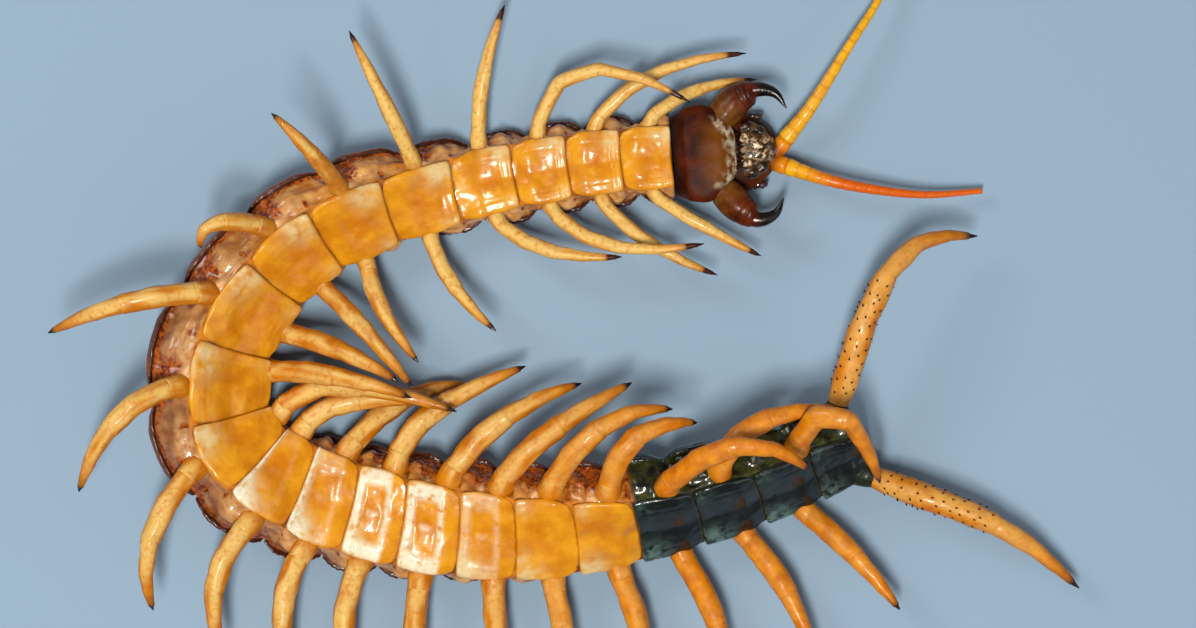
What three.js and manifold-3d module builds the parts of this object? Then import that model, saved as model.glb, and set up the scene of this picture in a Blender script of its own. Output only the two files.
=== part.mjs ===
// A giant desert centipede as a still, life-size model. It lies on its back, belly up,
// with its body bent in a C. Millimetres, +Z up.
// The origin is on the floor, under the middle of the whole animal.
import * as THREE from "three";
import { mergeVertices } from "three/addons/utils/BufferGeometryUtils.js";
import Module from "manifold-3d";

const wasm = await Module();
wasm.setup();

// Driving dimensions
const PIXEL = 0.125; // size on the animal of one pixel of the reference photograph
const MIDDLE = { x: 568.6, y: 344.6 }; // the pixel above the origin
const GAP = 0.3; // room between pieces that touch
const PRESS = 0.35; // depth to which the back is flattened where it lies
const SEGMENTS = 21; // leg-bearing segments
const SEGMENTS_IN_A_LENGTH = 3;
const BELLY_HEIGHT = 0.5; // height of the belly above the body's axis, per half width
const BACK_HEIGHT = 0.6; // depth of the back below the axis, per half width
const LEG_SIDE = 0.78; // place of a leg's root across the body, per half width
const LEG_UP = 0.6; // height of a leg's root, per belly height
const COXA = { outside: 1.8, inside: 2.2, startSize: 1.1, endSize: 1.04 }; // a leg's root
const LEG_ARCH = 1.2; // rise of a leg above the straight line from root to foot
const LEG_ARCH_WITH_ROLL = 0.13; // what each degree of roll adds on the side that it raises
const LEG_REACH = 0.5; // where a leg bends, as a share of the way to its foot
const LEG_SIDES = 6;
const ANTENNA_ARTICLES = 17;
const ANTENNA_SIDES = 6;

const UP = new THREE.Vector3(0, 0, 1);
const at = (px, py, z = 0) =>
  new THREE.Vector3((px - MIDDLE.x) * PIXEL, (MIDDLE.y - py) * PIXEL, z);

// The body's axis seen from above, in pixels: the neck, the grooves between the segments, the tail
const BODY_LINE = [
  [672, 156], [621, 160], [568, 166], [514, 175], [454, 187], [386, 201], [318, 228], [263, 274],
  [219, 344], [217, 421], [253, 470], [301, 493], [352, 508], [404, 518], [460, 524], [516, 526],
  [575, 522], [634, 512], [694, 498], [754, 480], [809, 460], [858, 441],
];

// Values that change along the trunk, as [segment, millimetres or degrees]
const HALF_WIDTH = [
  [1, 5.5], [4, 5.8], [5, 6.2], [6, 7.2], [8, 8.1], [9, 8.6], [10, 8.3],
  [12, 8.0], [15, 8.1], [17, 7.8], [19, 7.3], [21, 6.2],
];
const ROLL = [
  [1, 0], [4, 2], [5, 24], [6, 35], [9, 42], [10, 31], [11, 23],
  [12, 5], [13, -2], [14, -13], [16, -27], [17, -39], [18, -46], [20, -47], [21, -40],
];
const LEG_RADIUS = [[1, 0.85], [5, 1.0], [7, 1.2], [8, 1.35], [12, 1.4], [15, 1.45], [20, 1.4]];

// Half of a cross-section from the middle of the belly to the middle of the back:
// share of the half width, share of the height, depth of the groove between two plates
const PROFILE = [
  [0.0, 0.94, 0.5], [0.32, 1.0, 0.5], [0.6, 0.98, 0.5], [0.71, 0.88, 0.45],
  [0.745, 0.62, 0.25], [0.86, 0.24, 0.2], [0.925, -0.08, 0.25],
  [0.985, -0.3, 0.55], [0.965, -0.5, 0.6], [0.84, -0.76, 0.6], [0.55, -0.94, 0.55], [0.0, -1.0, 0.5],
];
// Rings of one segment: place along it, share of the groove's depth there
const SEGMENT_RINGS = [[0, 1], [0.15, 0.05], [0.55, -0.1], [0.89, -0.15]];
const TAIL_END = { groove: 3.2, length: 0.8 }; // the narrow ring that closes the last segment

// Each leg's pose: its place along the segment, its swing towards the head in degrees, its foot
// as pixel x, pixel y and height in millimetres, and, where they aren't the usual ones, the
// share of the way at which it bends and the arch of its bend
const RIGHT_LEGS = [
  [0.5, 52, 758, 78, 2.8], [0.5, 44, 747, 53, 5.5], [0.5, 24, 690, 104, 9.4, 0.7],
  [0.5, 12, 505, 6, 8], [0.5, -14, 352, 34, 12], [0.5, -14, 281, 119, 21],
  [0.5, -40, 208, 249, 15, 1.0], [0.5, -36, 55, 333, 12.5], [0.5, -18, 85, 490, 12],
  [0.4, -16, 157, 608, 10, 0.66], [0.42, 16, 226, 655, 8.5, 0.6], [0.4, 16, 290, 702, 7.5, 0.4],
  [0.38, 14, 356, 722, 7.5, 0.4], [0.42, 4, 432, 738, 7.5], [0.62, -4, 520, 742, 7.5],
  [0.55, -8, 580, 738, 7.5], [0.55, -14, 655, 728, 7], [0.55, -20, 738, 702, 6.5],
  [0.55, -26, 818, 664, 6], [0.55, -32, 900, 610, 6],
];
const LEFT_LEGS = [
  [0.5, 52, 762, 256, 4.5], [0.5, 36, 718, 275, 5], [0.5, 34, 704, 244, 9], [0.5, 37, 622, 257, 8],
  [0.5, 11, 497, 331, 9, 0.54], [0.55, -8, 420, 362, 10, 0.48], [0.5, 12, 417, 387, 15.2, 0.35, 2],
  [0.45, 22, 402, 381, 14, 0.55, 3.2], [0.26, 10, 414, 397, 11.9, 0.5, 5.4],
  [0.62, 14, 458, 411, 9.4, 0.37, 0.5], [0.54, -16, 426, 401, 6.5, 0.4, 0.5],
  [0.6, -24, 473, 387, 2.7, 0.66, -1.7], [0.68, -7, 526, 366, 6.2, 0.38, 0],
  [0.7, -30, 582, 383, 8, 0.55], [0.68, -34, 632, 382, 9.5, 0.42],
  [0.6, -34, 672, 408, 12, 0.69, 5.9],
  [0.62, -23, 696, 421, 13.5, 0.69], [0.55, -60, 806, 468, 15.5, 0.75, 9],
  [0.45, -36, 837, 407, 11.4, 0.5, 3.4], [0.82, -46, 878, 482, 10, 1, 13.5],
];

// Joints and bulges of a walking leg: share of its length, share of its radius
const LEG_SHAPE = [
  [0, 1], [0.13, 1.05], [0.26, 0.88], [0.38, 0.95], [0.49, 0.75], [0.6, 0.79],
  [0.7, 0.6], [0.79, 0.6], [0.86, 0.43], [0.93, 0.3], [1, 0.07],
];
const TAIL_LEG_SHAPE = [
  [0, 0.85], [0.14, 1.05], [0.3, 1.0], [0.34, 0.84], [0.44, 0.98], [0.54, 0.76], [0.63, 0.82],
  [0.72, 0.6], [0.8, 0.6], [0.87, 0.46], [0.95, 0.3], [1, 0.07],
];
const FANG_SHAPE = [
  [0, 0.88], [0.1, 1], [0.27, 1], [0.38, 0.84], [0.44, 0.86], [0.52, 0.72],
  [0.62, 0.62], [0.75, 0.45], [0.88, 0.25], [1, 0.05],
];

// The head's own measures, forward of the neck: place, half width, lowest, highest
const HEAD_RINGS = [
  [1.6, 4.0, 0.5, 3.6], [3.0, 5.0, 0.05, 4.1], [5.2, 5.5, -0.2, 4.3], [7.6, 5.45, -0.25, 4.4],
  [9.6, 4.9, -0.2, 4.4], [11.4, 3.8, 0.1, 4.2], [12.7, 2.5, 0.6, 3.8], [13.4, 1.3, 1.2, 3.2],
];
const CLAW_PLATE_RINGS = [
  [0.15, 4.9, 0.3, 6.4], [1.3, 5.4, 0.15, 7.2], [1.9, 5.8, 4.2, 7.7], [4.2, 6.1, 4.6, 8.0],
  [6.0, 5.1, 4.7, 7.7], [7.3, 3.6, 4.8, 7.0], [8.0, 2.4, 5.0, 6.3],
];
const HEAD_SIDES = 16;
const HEAD_SQUARENESS = 0.8; // 1 makes the head's rings round, less makes them boxy
const FANG_RADIUS = 2.1;
const FANG_SIDES = 10;
// The right claw is half closed and the left one stands wide open
const FANG_LINES = {
  right: [[6.6, 4.9, 6.0], [8.7, 6.5, 6.1], [11.1, 7.2, 6.3], [13.3, 6.7, 6.6], [14.7, 4.8, 6.9]],
  left: [[6.4, 5.4, 6.0], [8.0, 7.2, 6.1], [10.1, 8.5, 6.3], [12.2, 8.1, 6.6], [13.5, 6.3, 6.9]],
};
const FANG_SOCKET = { inside: 3.2, startSize: 0.95, endSize: 0.9 };
const TOOTH_PLATE = { size: [1.2, 1.5, 0.7], place: [7.9, 1.05, 5.8] };
const MOUTH_BASE = { place: [10.3, 0, 5.5], radii: [1.5, 1.9, 0.75] };
const PALP_LINE = [[8.9, 2.6, 5.5], [10.4, 2.7, 5.7], [11.7, 1.7, 5.6], [12.2, 0.7, 5.3]];
const PALP_RADIUS = 0.75;
const PALP_SHAPE = [[0, 1], [0.3, 1.1], [0.38, 0.85], [0.62, 0.95], [0.7, 0.7], [0.88, 0.6], [1, 0.15]];
// Four eyes on a low mound at each side of the head
const EYE_MOUND = { place: [10.7, 4.3, 1.9], radii: [1.25, 0.55, 0.95], room: 0.45 };
const EYE_RADIUS = 0.4;
const EYE_PLACES = [[-0.55, 0.38, -0.3], [0.45, 0.38, -0.4], [-0.35, 0.38, 0.42], [0.55, 0.38, 0.3]];

// Antennae seen from above, in pixels, with their height
const RIGHT_ANTENNA = [[787, 138, 3.2], [813, 104, 4.6], [850, 45, 4.4], [880, -2, 3.4], [903, -52, 2.2]];
const LEFT_ANTENNA = [[789, 166, 3.2], [830, 180, 4.6], [875, 189, 4.2], [928, 194, 3.2], [985, 190, 2]];
const ANTENNA_RADIUS = { root: 1.2, tip: 0.35 };
const ANTENNA_WAIST = 0.82; // narrowing between two articles
const ANTENNA_SOCKET = { inside: 3, startRadius: 1.3, endRadius: 1.1 };

// The tail legs from their roots, in pixels, with their height
const LEFT_TAIL_LEG = [
  [837, 401, 9.2], [850, 355, 11], [867, 308, 12], [893, 262, 11.5], [930, 238, 9], [978, 236, 6],
];
const RIGHT_TAIL_LEG = [[877, 478, 5], [925, 497, 6.5], [975, 515, 6.5], [1030, 545, 5.5], [1082, 590, 3.5]];
const TAIL_LEG_RADIUS = 1.58;
const TAIL_ROOT_INSIDE = { right: 5, left: 4.5 };

const COLOURS = {
  amber: 0xd98a1c, leg: 0xf0b64a, ink: 0x1d2a2c, maroon: 0x4a1b0f, mouth: 0x5b3a20,
  antenna: 0xf2a32a, tailLeg: 0xd9781e, eye: 0x0b0b0c,
};

// A value read from a list of keys, on straight lines between them
function keyed(keys, place) {
  const next = keys.findIndex(([k]) => k >= place);
  if (next === 0) return keys[0][1];
  if (next < 0) return keys.at(-1)[1];
  const [a, low] = keys[next - 1];
  const [b, high] = keys[next];
  return low + ((high - low) * (place - a)) / (b - a);
}

function smoothLine(points) {
  const curve = new THREE.CatmullRomCurve3(points, false, "catmullrom", 0.5);
  curve.arcLengthDivisions = 2000;
  return curve;
}

const bodyLine = smoothLine(BODY_LINE.map(([x, y]) => at(x, y)));

// The body's own directions at a place along a segment: side is its right, belly its underside
function frameAt(segment, along) {
  const share = (segment - 1 + along) / SEGMENTS;
  const centre = bodyLine.getPoint(share);
  const back = bodyLine.getTangent(share);
  const outward = new THREE.Vector3(back.y, -back.x, 0);
  const place = segment - 0.5 + along;
  const rollDegrees = keyed(ROLL, place);
  const roll = THREE.MathUtils.degToRad(rollDegrees);
  const side = outward.clone().multiplyScalar(Math.cos(roll)).addScaledVector(UP, Math.sin(roll));
  const belly = outward.clone().multiplyScalar(-Math.sin(roll)).addScaledVector(UP, Math.cos(roll));
  const width = keyed(HALF_WIDTH, place);
  const heights = { belly: width * BELLY_HEIGHT, back: width * BACK_HEIGHT };
  const frame = { centre, back, outward, side, belly, width, heights, rollDegrees };
  const levels = PROFILE.flatMap(([a, b]) => [onBody(frame, a, b).z, onBody(frame, -a, b).z]);
  centre.z = -Math.min(...levels) - PRESS;
  return frame;
}

const onBody = (frame, a, b) =>
  frame.centre.clone()
    .addScaledVector(frame.side, a * frame.width)
    .addScaledVector(frame.belly, b * (b > 0 ? frame.heights.belly : frame.heights.back));

// A closed body from rings with the same number of points
function loft(rings) {
  const sides = rings[0].length;
  const positions = rings.flat().flatMap((p) => [p.x, p.y, p.z]);
  const index = [];
  for (let r = 0; r + 1 < rings.length; r++) {
    for (let k = 0; k < sides; k++) {
      const a = r * sides + k;
      const b = r * sides + ((k + 1) % sides);
      index.push(a, b, b + sides, a, b + sides, a + sides);
    }
  }
  const last = (rings.length - 1) * sides;
  for (let k = 1; k + 1 < sides; k++) {
    index.push(0, k + 1, k);
    index.push(last, last + k, last + k + 1);
  }
  let volume = 0;
  const p = (i) => new THREE.Vector3().fromArray(positions, i * 3);
  for (let i = 0; i < index.length; i += 3) {
    volume += p(index[i]).dot(p(index[i + 1]).cross(p(index[i + 2])));
  }
  if (volume < 0) index.reverse();
  const geometry = new THREE.BufferGeometry();
  geometry.setAttribute("position", new THREE.Float32BufferAttribute(positions, 3));
  geometry.setIndex(index);
  return geometry;
}

function ringAround(centre, normal, binormal, radius, sides) {
  return Array.from({ length: sides }, (_, k) => {
    const angle = (2 * Math.PI * k) / sides;
    return centre.clone()
      .addScaledVector(normal, radius * Math.cos(angle))
      .addScaledVector(binormal, radius * Math.sin(angle));
  });
}

// A limb of round articles along a curve; its shape lists shares of length and radius
function limb(curve, shape, radius, sides) {
  let normal = null;
  const centres = shape.map(([share]) => curve.getPointAt(share));
  const rings = shape.map(([, size], i) => {
    const before = centres[Math.max(i - 1, 0)];
    const after = centres[Math.min(i + 1, centres.length - 1)];
    const along = i === 0 ? curve.getTangentAt(0) : after.clone().sub(before).normalize();
    normal = normal ?? new THREE.Vector3().crossVectors(along, UP);
    normal.addScaledVector(along, -normal.dot(along)).normalize();
    const binormal = new THREE.Vector3().crossVectors(along, normal);
    return ringAround(centres[i], normal, binormal, radius * size, sides);
  });
  return loft(rings);
}

function rod(from, to, startRadius, endRadius, sides) {
  const curve = new THREE.LineCurve3(from, to);
  return limb(curve, [[0, startRadius], [1, endRadius]], 1, sides);
}

function solid(geometry) {
  const bare = geometry.clone();
  bare.deleteAttribute("normal");
  bare.deleteAttribute("uv");
  const merged = mergeVertices(bare, 1e-4);
  return new wasm.Manifold(
    new wasm.Mesh({
      numProp: 3,
      vertProperties: new Float32Array(merged.attributes.position.array),
      triVerts: new Uint32Array(merged.index.array),
    }),
  );
}

// The largest closed body of a solid, as a geometry
function geometryOf(made) {
  const largest = made.decompose().reduce((a, b) => (a.volume() > b.volume() ? a : b));
  const mesh = largest.getMesh();
  const geometry = new THREE.BufferGeometry();
  geometry.setAttribute("position", new THREE.BufferAttribute(mesh.vertProperties, 3));
  geometry.setIndex(new THREE.BufferAttribute(mesh.triVerts, 1));
  return geometry;
}

const model = new THREE.Group();

function add(parent, name, geometry, colour) {
  const material = new THREE.MeshStandardMaterial({ color: colour, roughness: 0.35, metalness: 0 });
  const mesh = new THREE.Mesh(geometry, material);
  mesh.name = name;
  parent.add(mesh);
}

// One ring of the trunk. The groove is deepest at a segment's edge, and what would reach
// below the floor is pressed flat on it.
function trunkRing(segment, along, groove, shift = 0) {
  const frame = frameAt(segment, along);
  const pointAt = (a, b, depth) => {
    const p = onBody(frame, a, b);
    const inward = frame.centre.clone().sub(p).normalize();
    p.addScaledVector(inward, depth * groove).addScaledVector(frame.back, shift);
    p.z = Math.max(p.z, 0);
    return p;
  };
  const right = PROFILE.map(([a, b, depth]) => pointAt(a, b, depth));
  const left = PROFILE.slice(1, -1).map(([a, b, depth]) => pointAt(-a, b, depth));
  return [...right, ...left.reverse()];
}

// Where a leg meets the body: the root's start inside, its end, and the leg's way to the foot
function legPlan(segment, sign, [along, swing, footX, footY, footZ, reach = LEG_REACH, arch]) {
  const frame = frameAt(segment, along);
  const surface = onBody(frame, sign * LEG_SIDE, LEG_UP);
  const turn = THREE.MathUtils.degToRad(swing);
  const level = frame.outward.clone().multiplyScalar(sign * Math.cos(turn))
    .addScaledVector(frame.back, -Math.sin(turn));
  const foot = at(footX, footY, footZ);
  const distance = Math.hypot(foot.x - surface.x, foot.y - surface.y);
  const bend = surface.clone().addScaledVector(level, distance * reach);
  const raised = Math.max(sign * frame.rollDegrees, 0);
  bend.z = (surface.z + footZ) / 2 + (arch ?? LEG_ARCH + LEG_ARCH_WITH_ROLL * raised);
  const way = bend.clone().sub(surface).normalize();
  const rootEnd = surface.clone().addScaledVector(way, COXA.outside);
  const legStart = rootEnd.clone().addScaledVector(way, GAP);
  return {
    rootStart: surface.clone().addScaledVector(way, -COXA.inside),
    rootEnd,
    curve: new THREE.QuadraticBezierCurve3(legStart, bend, foot),
    radius: keyed(LEG_RADIUS, segment),
  };
}

const twoDigits = (n) => String(n).padStart(2, "0");
const legPlans = { right: [], left: [] };
for (let i = 1; i < SEGMENTS; i++) {
  legPlans.right.push(legPlan(i, 1, RIGHT_LEGS[i - 1]));
  legPlans.left.push(legPlan(i, -1, LEFT_LEGS[i - 1]));
}

// The tail legs' roots point along their own lines
function tailLegPlan(line, inside) {
  const curve = smoothLine(line.map(([x, y, z]) => at(x, y, z)));
  const start = curve.getPointAt(0);
  const way = curve.getTangentAt(0);
  return {
    rootStart: start.clone().addScaledVector(way, -inside),
    rootEnd: start.clone().addScaledVector(way, -GAP),
    curve,
    radius: TAIL_LEG_RADIUS,
  };
}
const tailLegs = {
  right: tailLegPlan(RIGHT_TAIL_LEG, TAIL_ROOT_INSIDE.right),
  left: tailLegPlan(LEFT_TAIL_LEG, TAIL_ROOT_INSIDE.left),
};

function trunkLength(first, last) {
  const rings = [];
  for (let i = first; i <= last; i++) {
    for (const [along, groove] of SEGMENT_RINGS) {
      const cut = i === first && along === 0 ? GAP / 2 : 0;
      rings.push(trunkRing(i, along, groove, cut));
    }
  }
  const tail = last === SEGMENTS;
  rings.push(trunkRing(last, 1, 1, tail ? 0 : -GAP / 2));
  if (tail) rings.push(trunkRing(last, 1, TAIL_END.groove, TAIL_END.length));
  let made = solid(loft(rings));
  for (let i = first; i <= last; i++) {
    for (const side of ["right", "left"]) {
      const plan = i < SEGMENTS ? legPlans[side][i - 1] : tailLegs[side];
      const sizes = [plan.radius * COXA.startSize, plan.radius * COXA.endSize];
      made = made.add(solid(rod(plan.rootStart, plan.rootEnd, ...sizes, LEG_SIDES)));
    }
  }
  return geometryOf(made);
}

const trunk = new THREE.Group();
model.add(trunk);
for (let first = 1; first <= SEGMENTS; first += SEGMENTS_IN_A_LENGTH) {
  const last = first + SEGMENTS_IN_A_LENGTH - 1;
  const colour = first > 18 ? COLOURS.ink : COLOURS.amber;
  add(trunk, `trunk_${twoDigits(first)}_${twoDigits(last)}`, trunkLength(first, last), colour);
}

const legs = new THREE.Group();
model.add(legs);
for (const side of ["right", "left"]) {
  legPlans[side].forEach((plan, k) => {
    const geometry = limb(plan.curve, LEG_SHAPE, plan.radius, LEG_SIDES);
    add(legs, `leg_${side}_${twoDigits(k + 1)}`, geometry, COLOURS.leg);
  });
  const plan = tailLegs[side];
  add(legs, `leg_${side}_21`, limb(plan.curve, TAIL_LEG_SHAPE, plan.radius, LEG_SIDES), COLOURS.tailLeg);
}

// The head, measured forward and to the right of the neck
const neck = frameAt(1, 0);
const headTurn = Math.atan2(-neck.back.y, -neck.back.x);
const inHead = ([forward, right, height]) =>
  new THREE.Vector3(neck.centre.x, neck.centre.y, height)
    .addScaledVector(neck.back, -forward)
    .addScaledVector(neck.outward, right);

function headRing([forward, halfWidth, low, high], room = 0) {
  const middle = (low + high) / 2;
  return Array.from({ length: HEAD_SIDES }, (_, k) => {
    const angle = (2 * Math.PI * k) / HEAD_SIDES;
    const round = (v) => Math.sign(v) * Math.abs(v) ** HEAD_SQUARENESS;
    const right = (halfWidth + room) * round(Math.cos(angle));
    const height = middle + ((high - low) / 2 + room) * round(Math.sin(angle));
    return inHead([forward, right, Math.max(height, 0)]);
  });
}

// A head piece from its rings, grown by a room on every side where it cuts a neighbour
function headSolid(rings, room = 0) {
  const last = rings.length - 1;
  const grown = rings.map(([forward, ...rest], i) => {
    const shift = i === 0 ? -room : i === last ? room : 0;
    return headRing([forward + shift, ...rest], room);
  });
  return solid(loft(grown));
}

function ball(place, radii, sides = 8, steps = 5) {
  const geometry = new THREE.SphereGeometry(1, sides, steps);
  geometry.scale(...radii);
  geometry.rotateZ(headTurn);
  geometry.translate(...inHead(place).toArray());
  return solid(geometry);
}

const mirror = ([forward, right, height], sign) => [forward, right * sign, height];
const head = new THREE.Group();
model.add(head);

// Antennae, each on a short socket of the head
const antennaLines = {
  right: smoothLine(RIGHT_ANTENNA.map(([x, y, z]) => at(x, y, z))),
  left: smoothLine(LEFT_ANTENNA.map(([x, y, z]) => at(x, y, z))),
};
const antennaShape = [];
for (let i = 0; i <= ANTENNA_ARTICLES; i++) {
  const size = (share) =>
    THREE.MathUtils.lerp(1, ANTENNA_RADIUS.tip / ANTENNA_RADIUS.root, Math.sqrt(share));
  const share = i / ANTENNA_ARTICLES;
  antennaShape.push([share, size(share) * ANTENNA_WAIST]);
  const middle = (i + 0.6) / ANTENNA_ARTICLES;
  if (i < ANTENNA_ARTICLES) antennaShape.push([middle, size(middle)]);
}

let capsule = headSolid(HEAD_RINGS);
for (const [side, sign] of [["right", 1], ["left", -1]]) {
  const line = antennaLines[side];
  const start = line.getPointAt(0);
  const way = line.getTangentAt(0);
  const from = start.clone().addScaledVector(way, -ANTENNA_SOCKET.inside);
  const to = start.clone().addScaledVector(way, -GAP);
  const socket = rod(from, to, ANTENNA_SOCKET.startRadius, ANTENNA_SOCKET.endRadius, 8);
  capsule = capsule.add(solid(socket));
  add(head, `antenna_${side}`, limb(line, antennaShape, ANTENNA_RADIUS.root, ANTENNA_SIDES), COLOURS.antenna);

  const { place, radii, room } = EYE_MOUND;
  capsule = capsule.subtract(ball(mirror(place, sign), radii.map((r) => r + room)));
  let eyes = ball(mirror(place, sign), radii);
  for (const shift of EYE_PLACES) {
    const centre = place.map((v, i) => v + shift[i]);
    eyes = eyes.add(ball(mirror(centre, sign), [EYE_RADIUS, EYE_RADIUS, EYE_RADIUS], 5, 4));
  }
  add(head, `eyes_${side}`, geometryOf(eyes), COLOURS.eye);
}
add(head, "head", geometryOf(capsule), COLOURS.maroon);

// The plate that carries the poison claws covers the hind half of the head's underside
let plate = headSolid(CLAW_PLATE_RINGS);
for (const [side, sign] of [["right", 1], ["left", -1]]) {
  const line = smoothLine(FANG_LINES[side].map((p) => inHead(mirror(p, sign))));
  const start = line.getPointAt(0);
  const way = line.getTangentAt(0);
  const from = start.clone().addScaledVector(way, -FANG_SOCKET.inside);
  const to = start.clone().addScaledVector(way, -GAP);
  const sizes = [FANG_RADIUS * FANG_SOCKET.startSize, FANG_RADIUS * FANG_SOCKET.endSize];
  plate = plate.add(solid(rod(from, to, ...sizes, FANG_SIDES)));
  add(head, `poison_claw_${side}`, limb(line, FANG_SHAPE, FANG_RADIUS, FANG_SIDES), COLOURS.maroon);
  const toothPlate = new THREE.BoxGeometry(...TOOTH_PLATE.size);
  toothPlate.rotateZ(headTurn);
  toothPlate.translate(...inHead(mirror(TOOTH_PLATE.place, sign)).toArray());
  plate = plate.add(solid(toothPlate));
}
plate = plate.subtract(headSolid(HEAD_RINGS, GAP));
add(head, "claw_plate", geometryOf(plate), COLOURS.maroon);

// Mouthparts: two palps on a soft base, in front of the claws' plate
let mouth = ball(MOUTH_BASE.place, MOUTH_BASE.radii, 10, 6);
for (const sign of [1, -1]) {
  const line = smoothLine(PALP_LINE.map((p) => inHead(mirror(p, sign))));
  mouth = mouth.add(solid(limb(line, PALP_SHAPE, PALP_RADIUS, 7)));
}
mouth = mouth.subtract(headSolid(HEAD_RINGS, GAP));
add(head, "mouthparts", geometryOf(mouth), COLOURS.mouth);

export default model;
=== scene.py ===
# %% [markdown]
# # A giant desert centipede, belly up
#
# The animal is a large orange centipede with a dark head and a blue-black tail. It lies on its
# back with its body bent in a C, so that the belly plates, the leg roots and the poison claws
# show. This lesson dresses a fixed frame of plain solids with the real surfaces: a soft skin, hard
# glossy plates over it, jointed legs, feelers and a detailed head.

# %% Load the frame
import math

import bmesh
import bpy
import numpy as np
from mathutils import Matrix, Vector, noise


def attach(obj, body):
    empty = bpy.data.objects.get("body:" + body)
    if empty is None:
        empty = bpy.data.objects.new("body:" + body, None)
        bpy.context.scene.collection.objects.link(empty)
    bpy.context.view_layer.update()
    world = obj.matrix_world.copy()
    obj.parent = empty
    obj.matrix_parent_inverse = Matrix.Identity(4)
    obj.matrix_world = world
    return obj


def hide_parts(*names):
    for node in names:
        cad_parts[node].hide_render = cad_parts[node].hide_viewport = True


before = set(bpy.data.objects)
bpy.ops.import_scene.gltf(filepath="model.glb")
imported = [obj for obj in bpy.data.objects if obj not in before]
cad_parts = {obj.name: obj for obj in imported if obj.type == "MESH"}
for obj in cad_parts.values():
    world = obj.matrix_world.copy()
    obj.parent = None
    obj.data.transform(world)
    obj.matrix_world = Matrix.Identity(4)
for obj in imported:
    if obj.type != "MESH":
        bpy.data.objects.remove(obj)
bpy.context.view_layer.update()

# %% [markdown]
# ## The body's line and sizes
#
# A centipede's trunk is a chain of 21 segments, each with one pair of legs. A builder could bend a
# straight model with a Curve modifier, but that stretches the legs as well. Here every piece is
# made directly at its place, from the same few values as the solids: a line through the grooves
# between the segments, and the width and roll along it.

# %% The values that the whole animal shares
MM = 0.001
UP = np.array([0.0, 0.0, 1.0])
PIXEL = 0.125  # millimetres on the animal for one pixel of the reference photograph
MIDDLE = (568.6, 344.6)  # the pixel above the origin
GAP = 0.3  # between the root of a leg and the leg
PRESS = 0.35  # how far the floor flattens the back
SEGMENTS = 21
BELLY_HEIGHT, BACK_HEIGHT = 0.5, 0.6  # in shares of half the width

# Pixels of the grooves between the segments, from the neck to the end of the tail
BODY_LINE = [
    (672, 156), (621, 160), (568, 166), (514, 175), (454, 187), (386, 201), (318, 228), (263, 274),
    (219, 344), (217, 421), (253, 470), (301, 493), (352, 508), (404, 518), (460, 524), (516, 526),
    (575, 522), (634, 512), (694, 498), (754, 480), (809, 460), (858, 441),
]
# Segment and half width in millimetres, then segment and roll in degrees
HALF_WIDTH = [
    (1, 5.5), (4, 5.8), (5, 6.2), (6, 7.2), (8, 8.1), (9, 8.6), (10, 8.3),
    (12, 8.0), (15, 8.1), (17, 7.8), (19, 7.3), (21, 6.2),
]
ROLL = [
    (1, 0), (4, 2), (5, 24), (6, 35), (9, 42), (10, 31), (11, 23),
    (12, 5), (13, -2), (14, -13), (16, -27), (17, -39), (18, -46), (20, -47), (21, -40),
]
# Half a cross-section, from the middle of the belly to the middle of the back
PROFILE = [
    (0.0, 0.94), (0.32, 1.0), (0.6, 0.98), (0.71, 0.88), (0.745, 0.62), (0.86, 0.24),
    (0.925, -0.08), (0.985, -0.3), (0.965, -0.5), (0.84, -0.76), (0.55, -0.94), (0.0, -1.0),
]
BELLY_CORNER, BACK_CORNER = 3, 6  # the profile's points at the edges of the belly and back plates
RIM_SHIFT = 0.04  # how much further round, in shares of the half section, the back plates' rim lies

# %% Helpers that read the values
def at(px, py, z=0.0):
    """A point in millimetres, from a pixel and a height."""
    return np.array([(px - MIDDLE[0]) * PIXEL, (MIDDLE[1] - py) * PIXEL, z])


def keyed(keys, place):
    """A value on straight lines between keys."""
    places, values = np.array(keys, float).T
    return np.interp(place, places, values)


def cubic(low, high, start, end, t):
    """A smooth curve from low to high that leaves and arrives with the given slopes."""
    curve = low + start * t + (3 * (high - low) - 2 * start - end) * t**2
    return curve + (2 * (low - high) + start + end) * t**3


def unit(v):
    """A vector, or rows of vectors, made one long."""
    return v / np.linalg.norm(v, axis=-1, keepdims=True)


def lengths_along(points):
    """How far along its line each point lies."""
    steps = np.linalg.norm(np.diff(points, axis=0), axis=1)
    return np.concatenate([[0], np.cumsum(steps)])


def turns(count):
    """Angles evenly round a circle."""
    return np.linspace(0, 2 * math.pi, count, endpoint=False)


def eased(keys, place):
    """A value, or a row of values, on a smooth line through keys."""
    table = np.array(keys, float)
    places, values = table[:, 0], table[:, 1:]
    slopes = np.gradient(values, places, axis=0)
    place = np.clip(np.atleast_1d(place), places[0], places[-1])
    k = np.clip(np.searchsorted(places, place) - 1, 0, len(places) - 2)
    span = (places[k + 1] - places[k])[:, None]
    t = (place[:, None] - places[k][:, None]) / span
    read = cubic(values[k], values[k + 1], slopes[k] * span, slopes[k + 1] * span, t)
    return read[:, 0] if read.shape[1] == 1 else read


def step(low, high, value):
    """0 below low, 1 above high and a soft step between them."""
    t = np.clip((value - low) / (high - low), 0, 1)
    return t * t * (3 - 2 * t)


def bump(value, middle, spread):
    """1 at the middle, falling to 0 on both sides."""
    return np.exp(-(((value - middle) / spread) ** 2))


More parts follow.
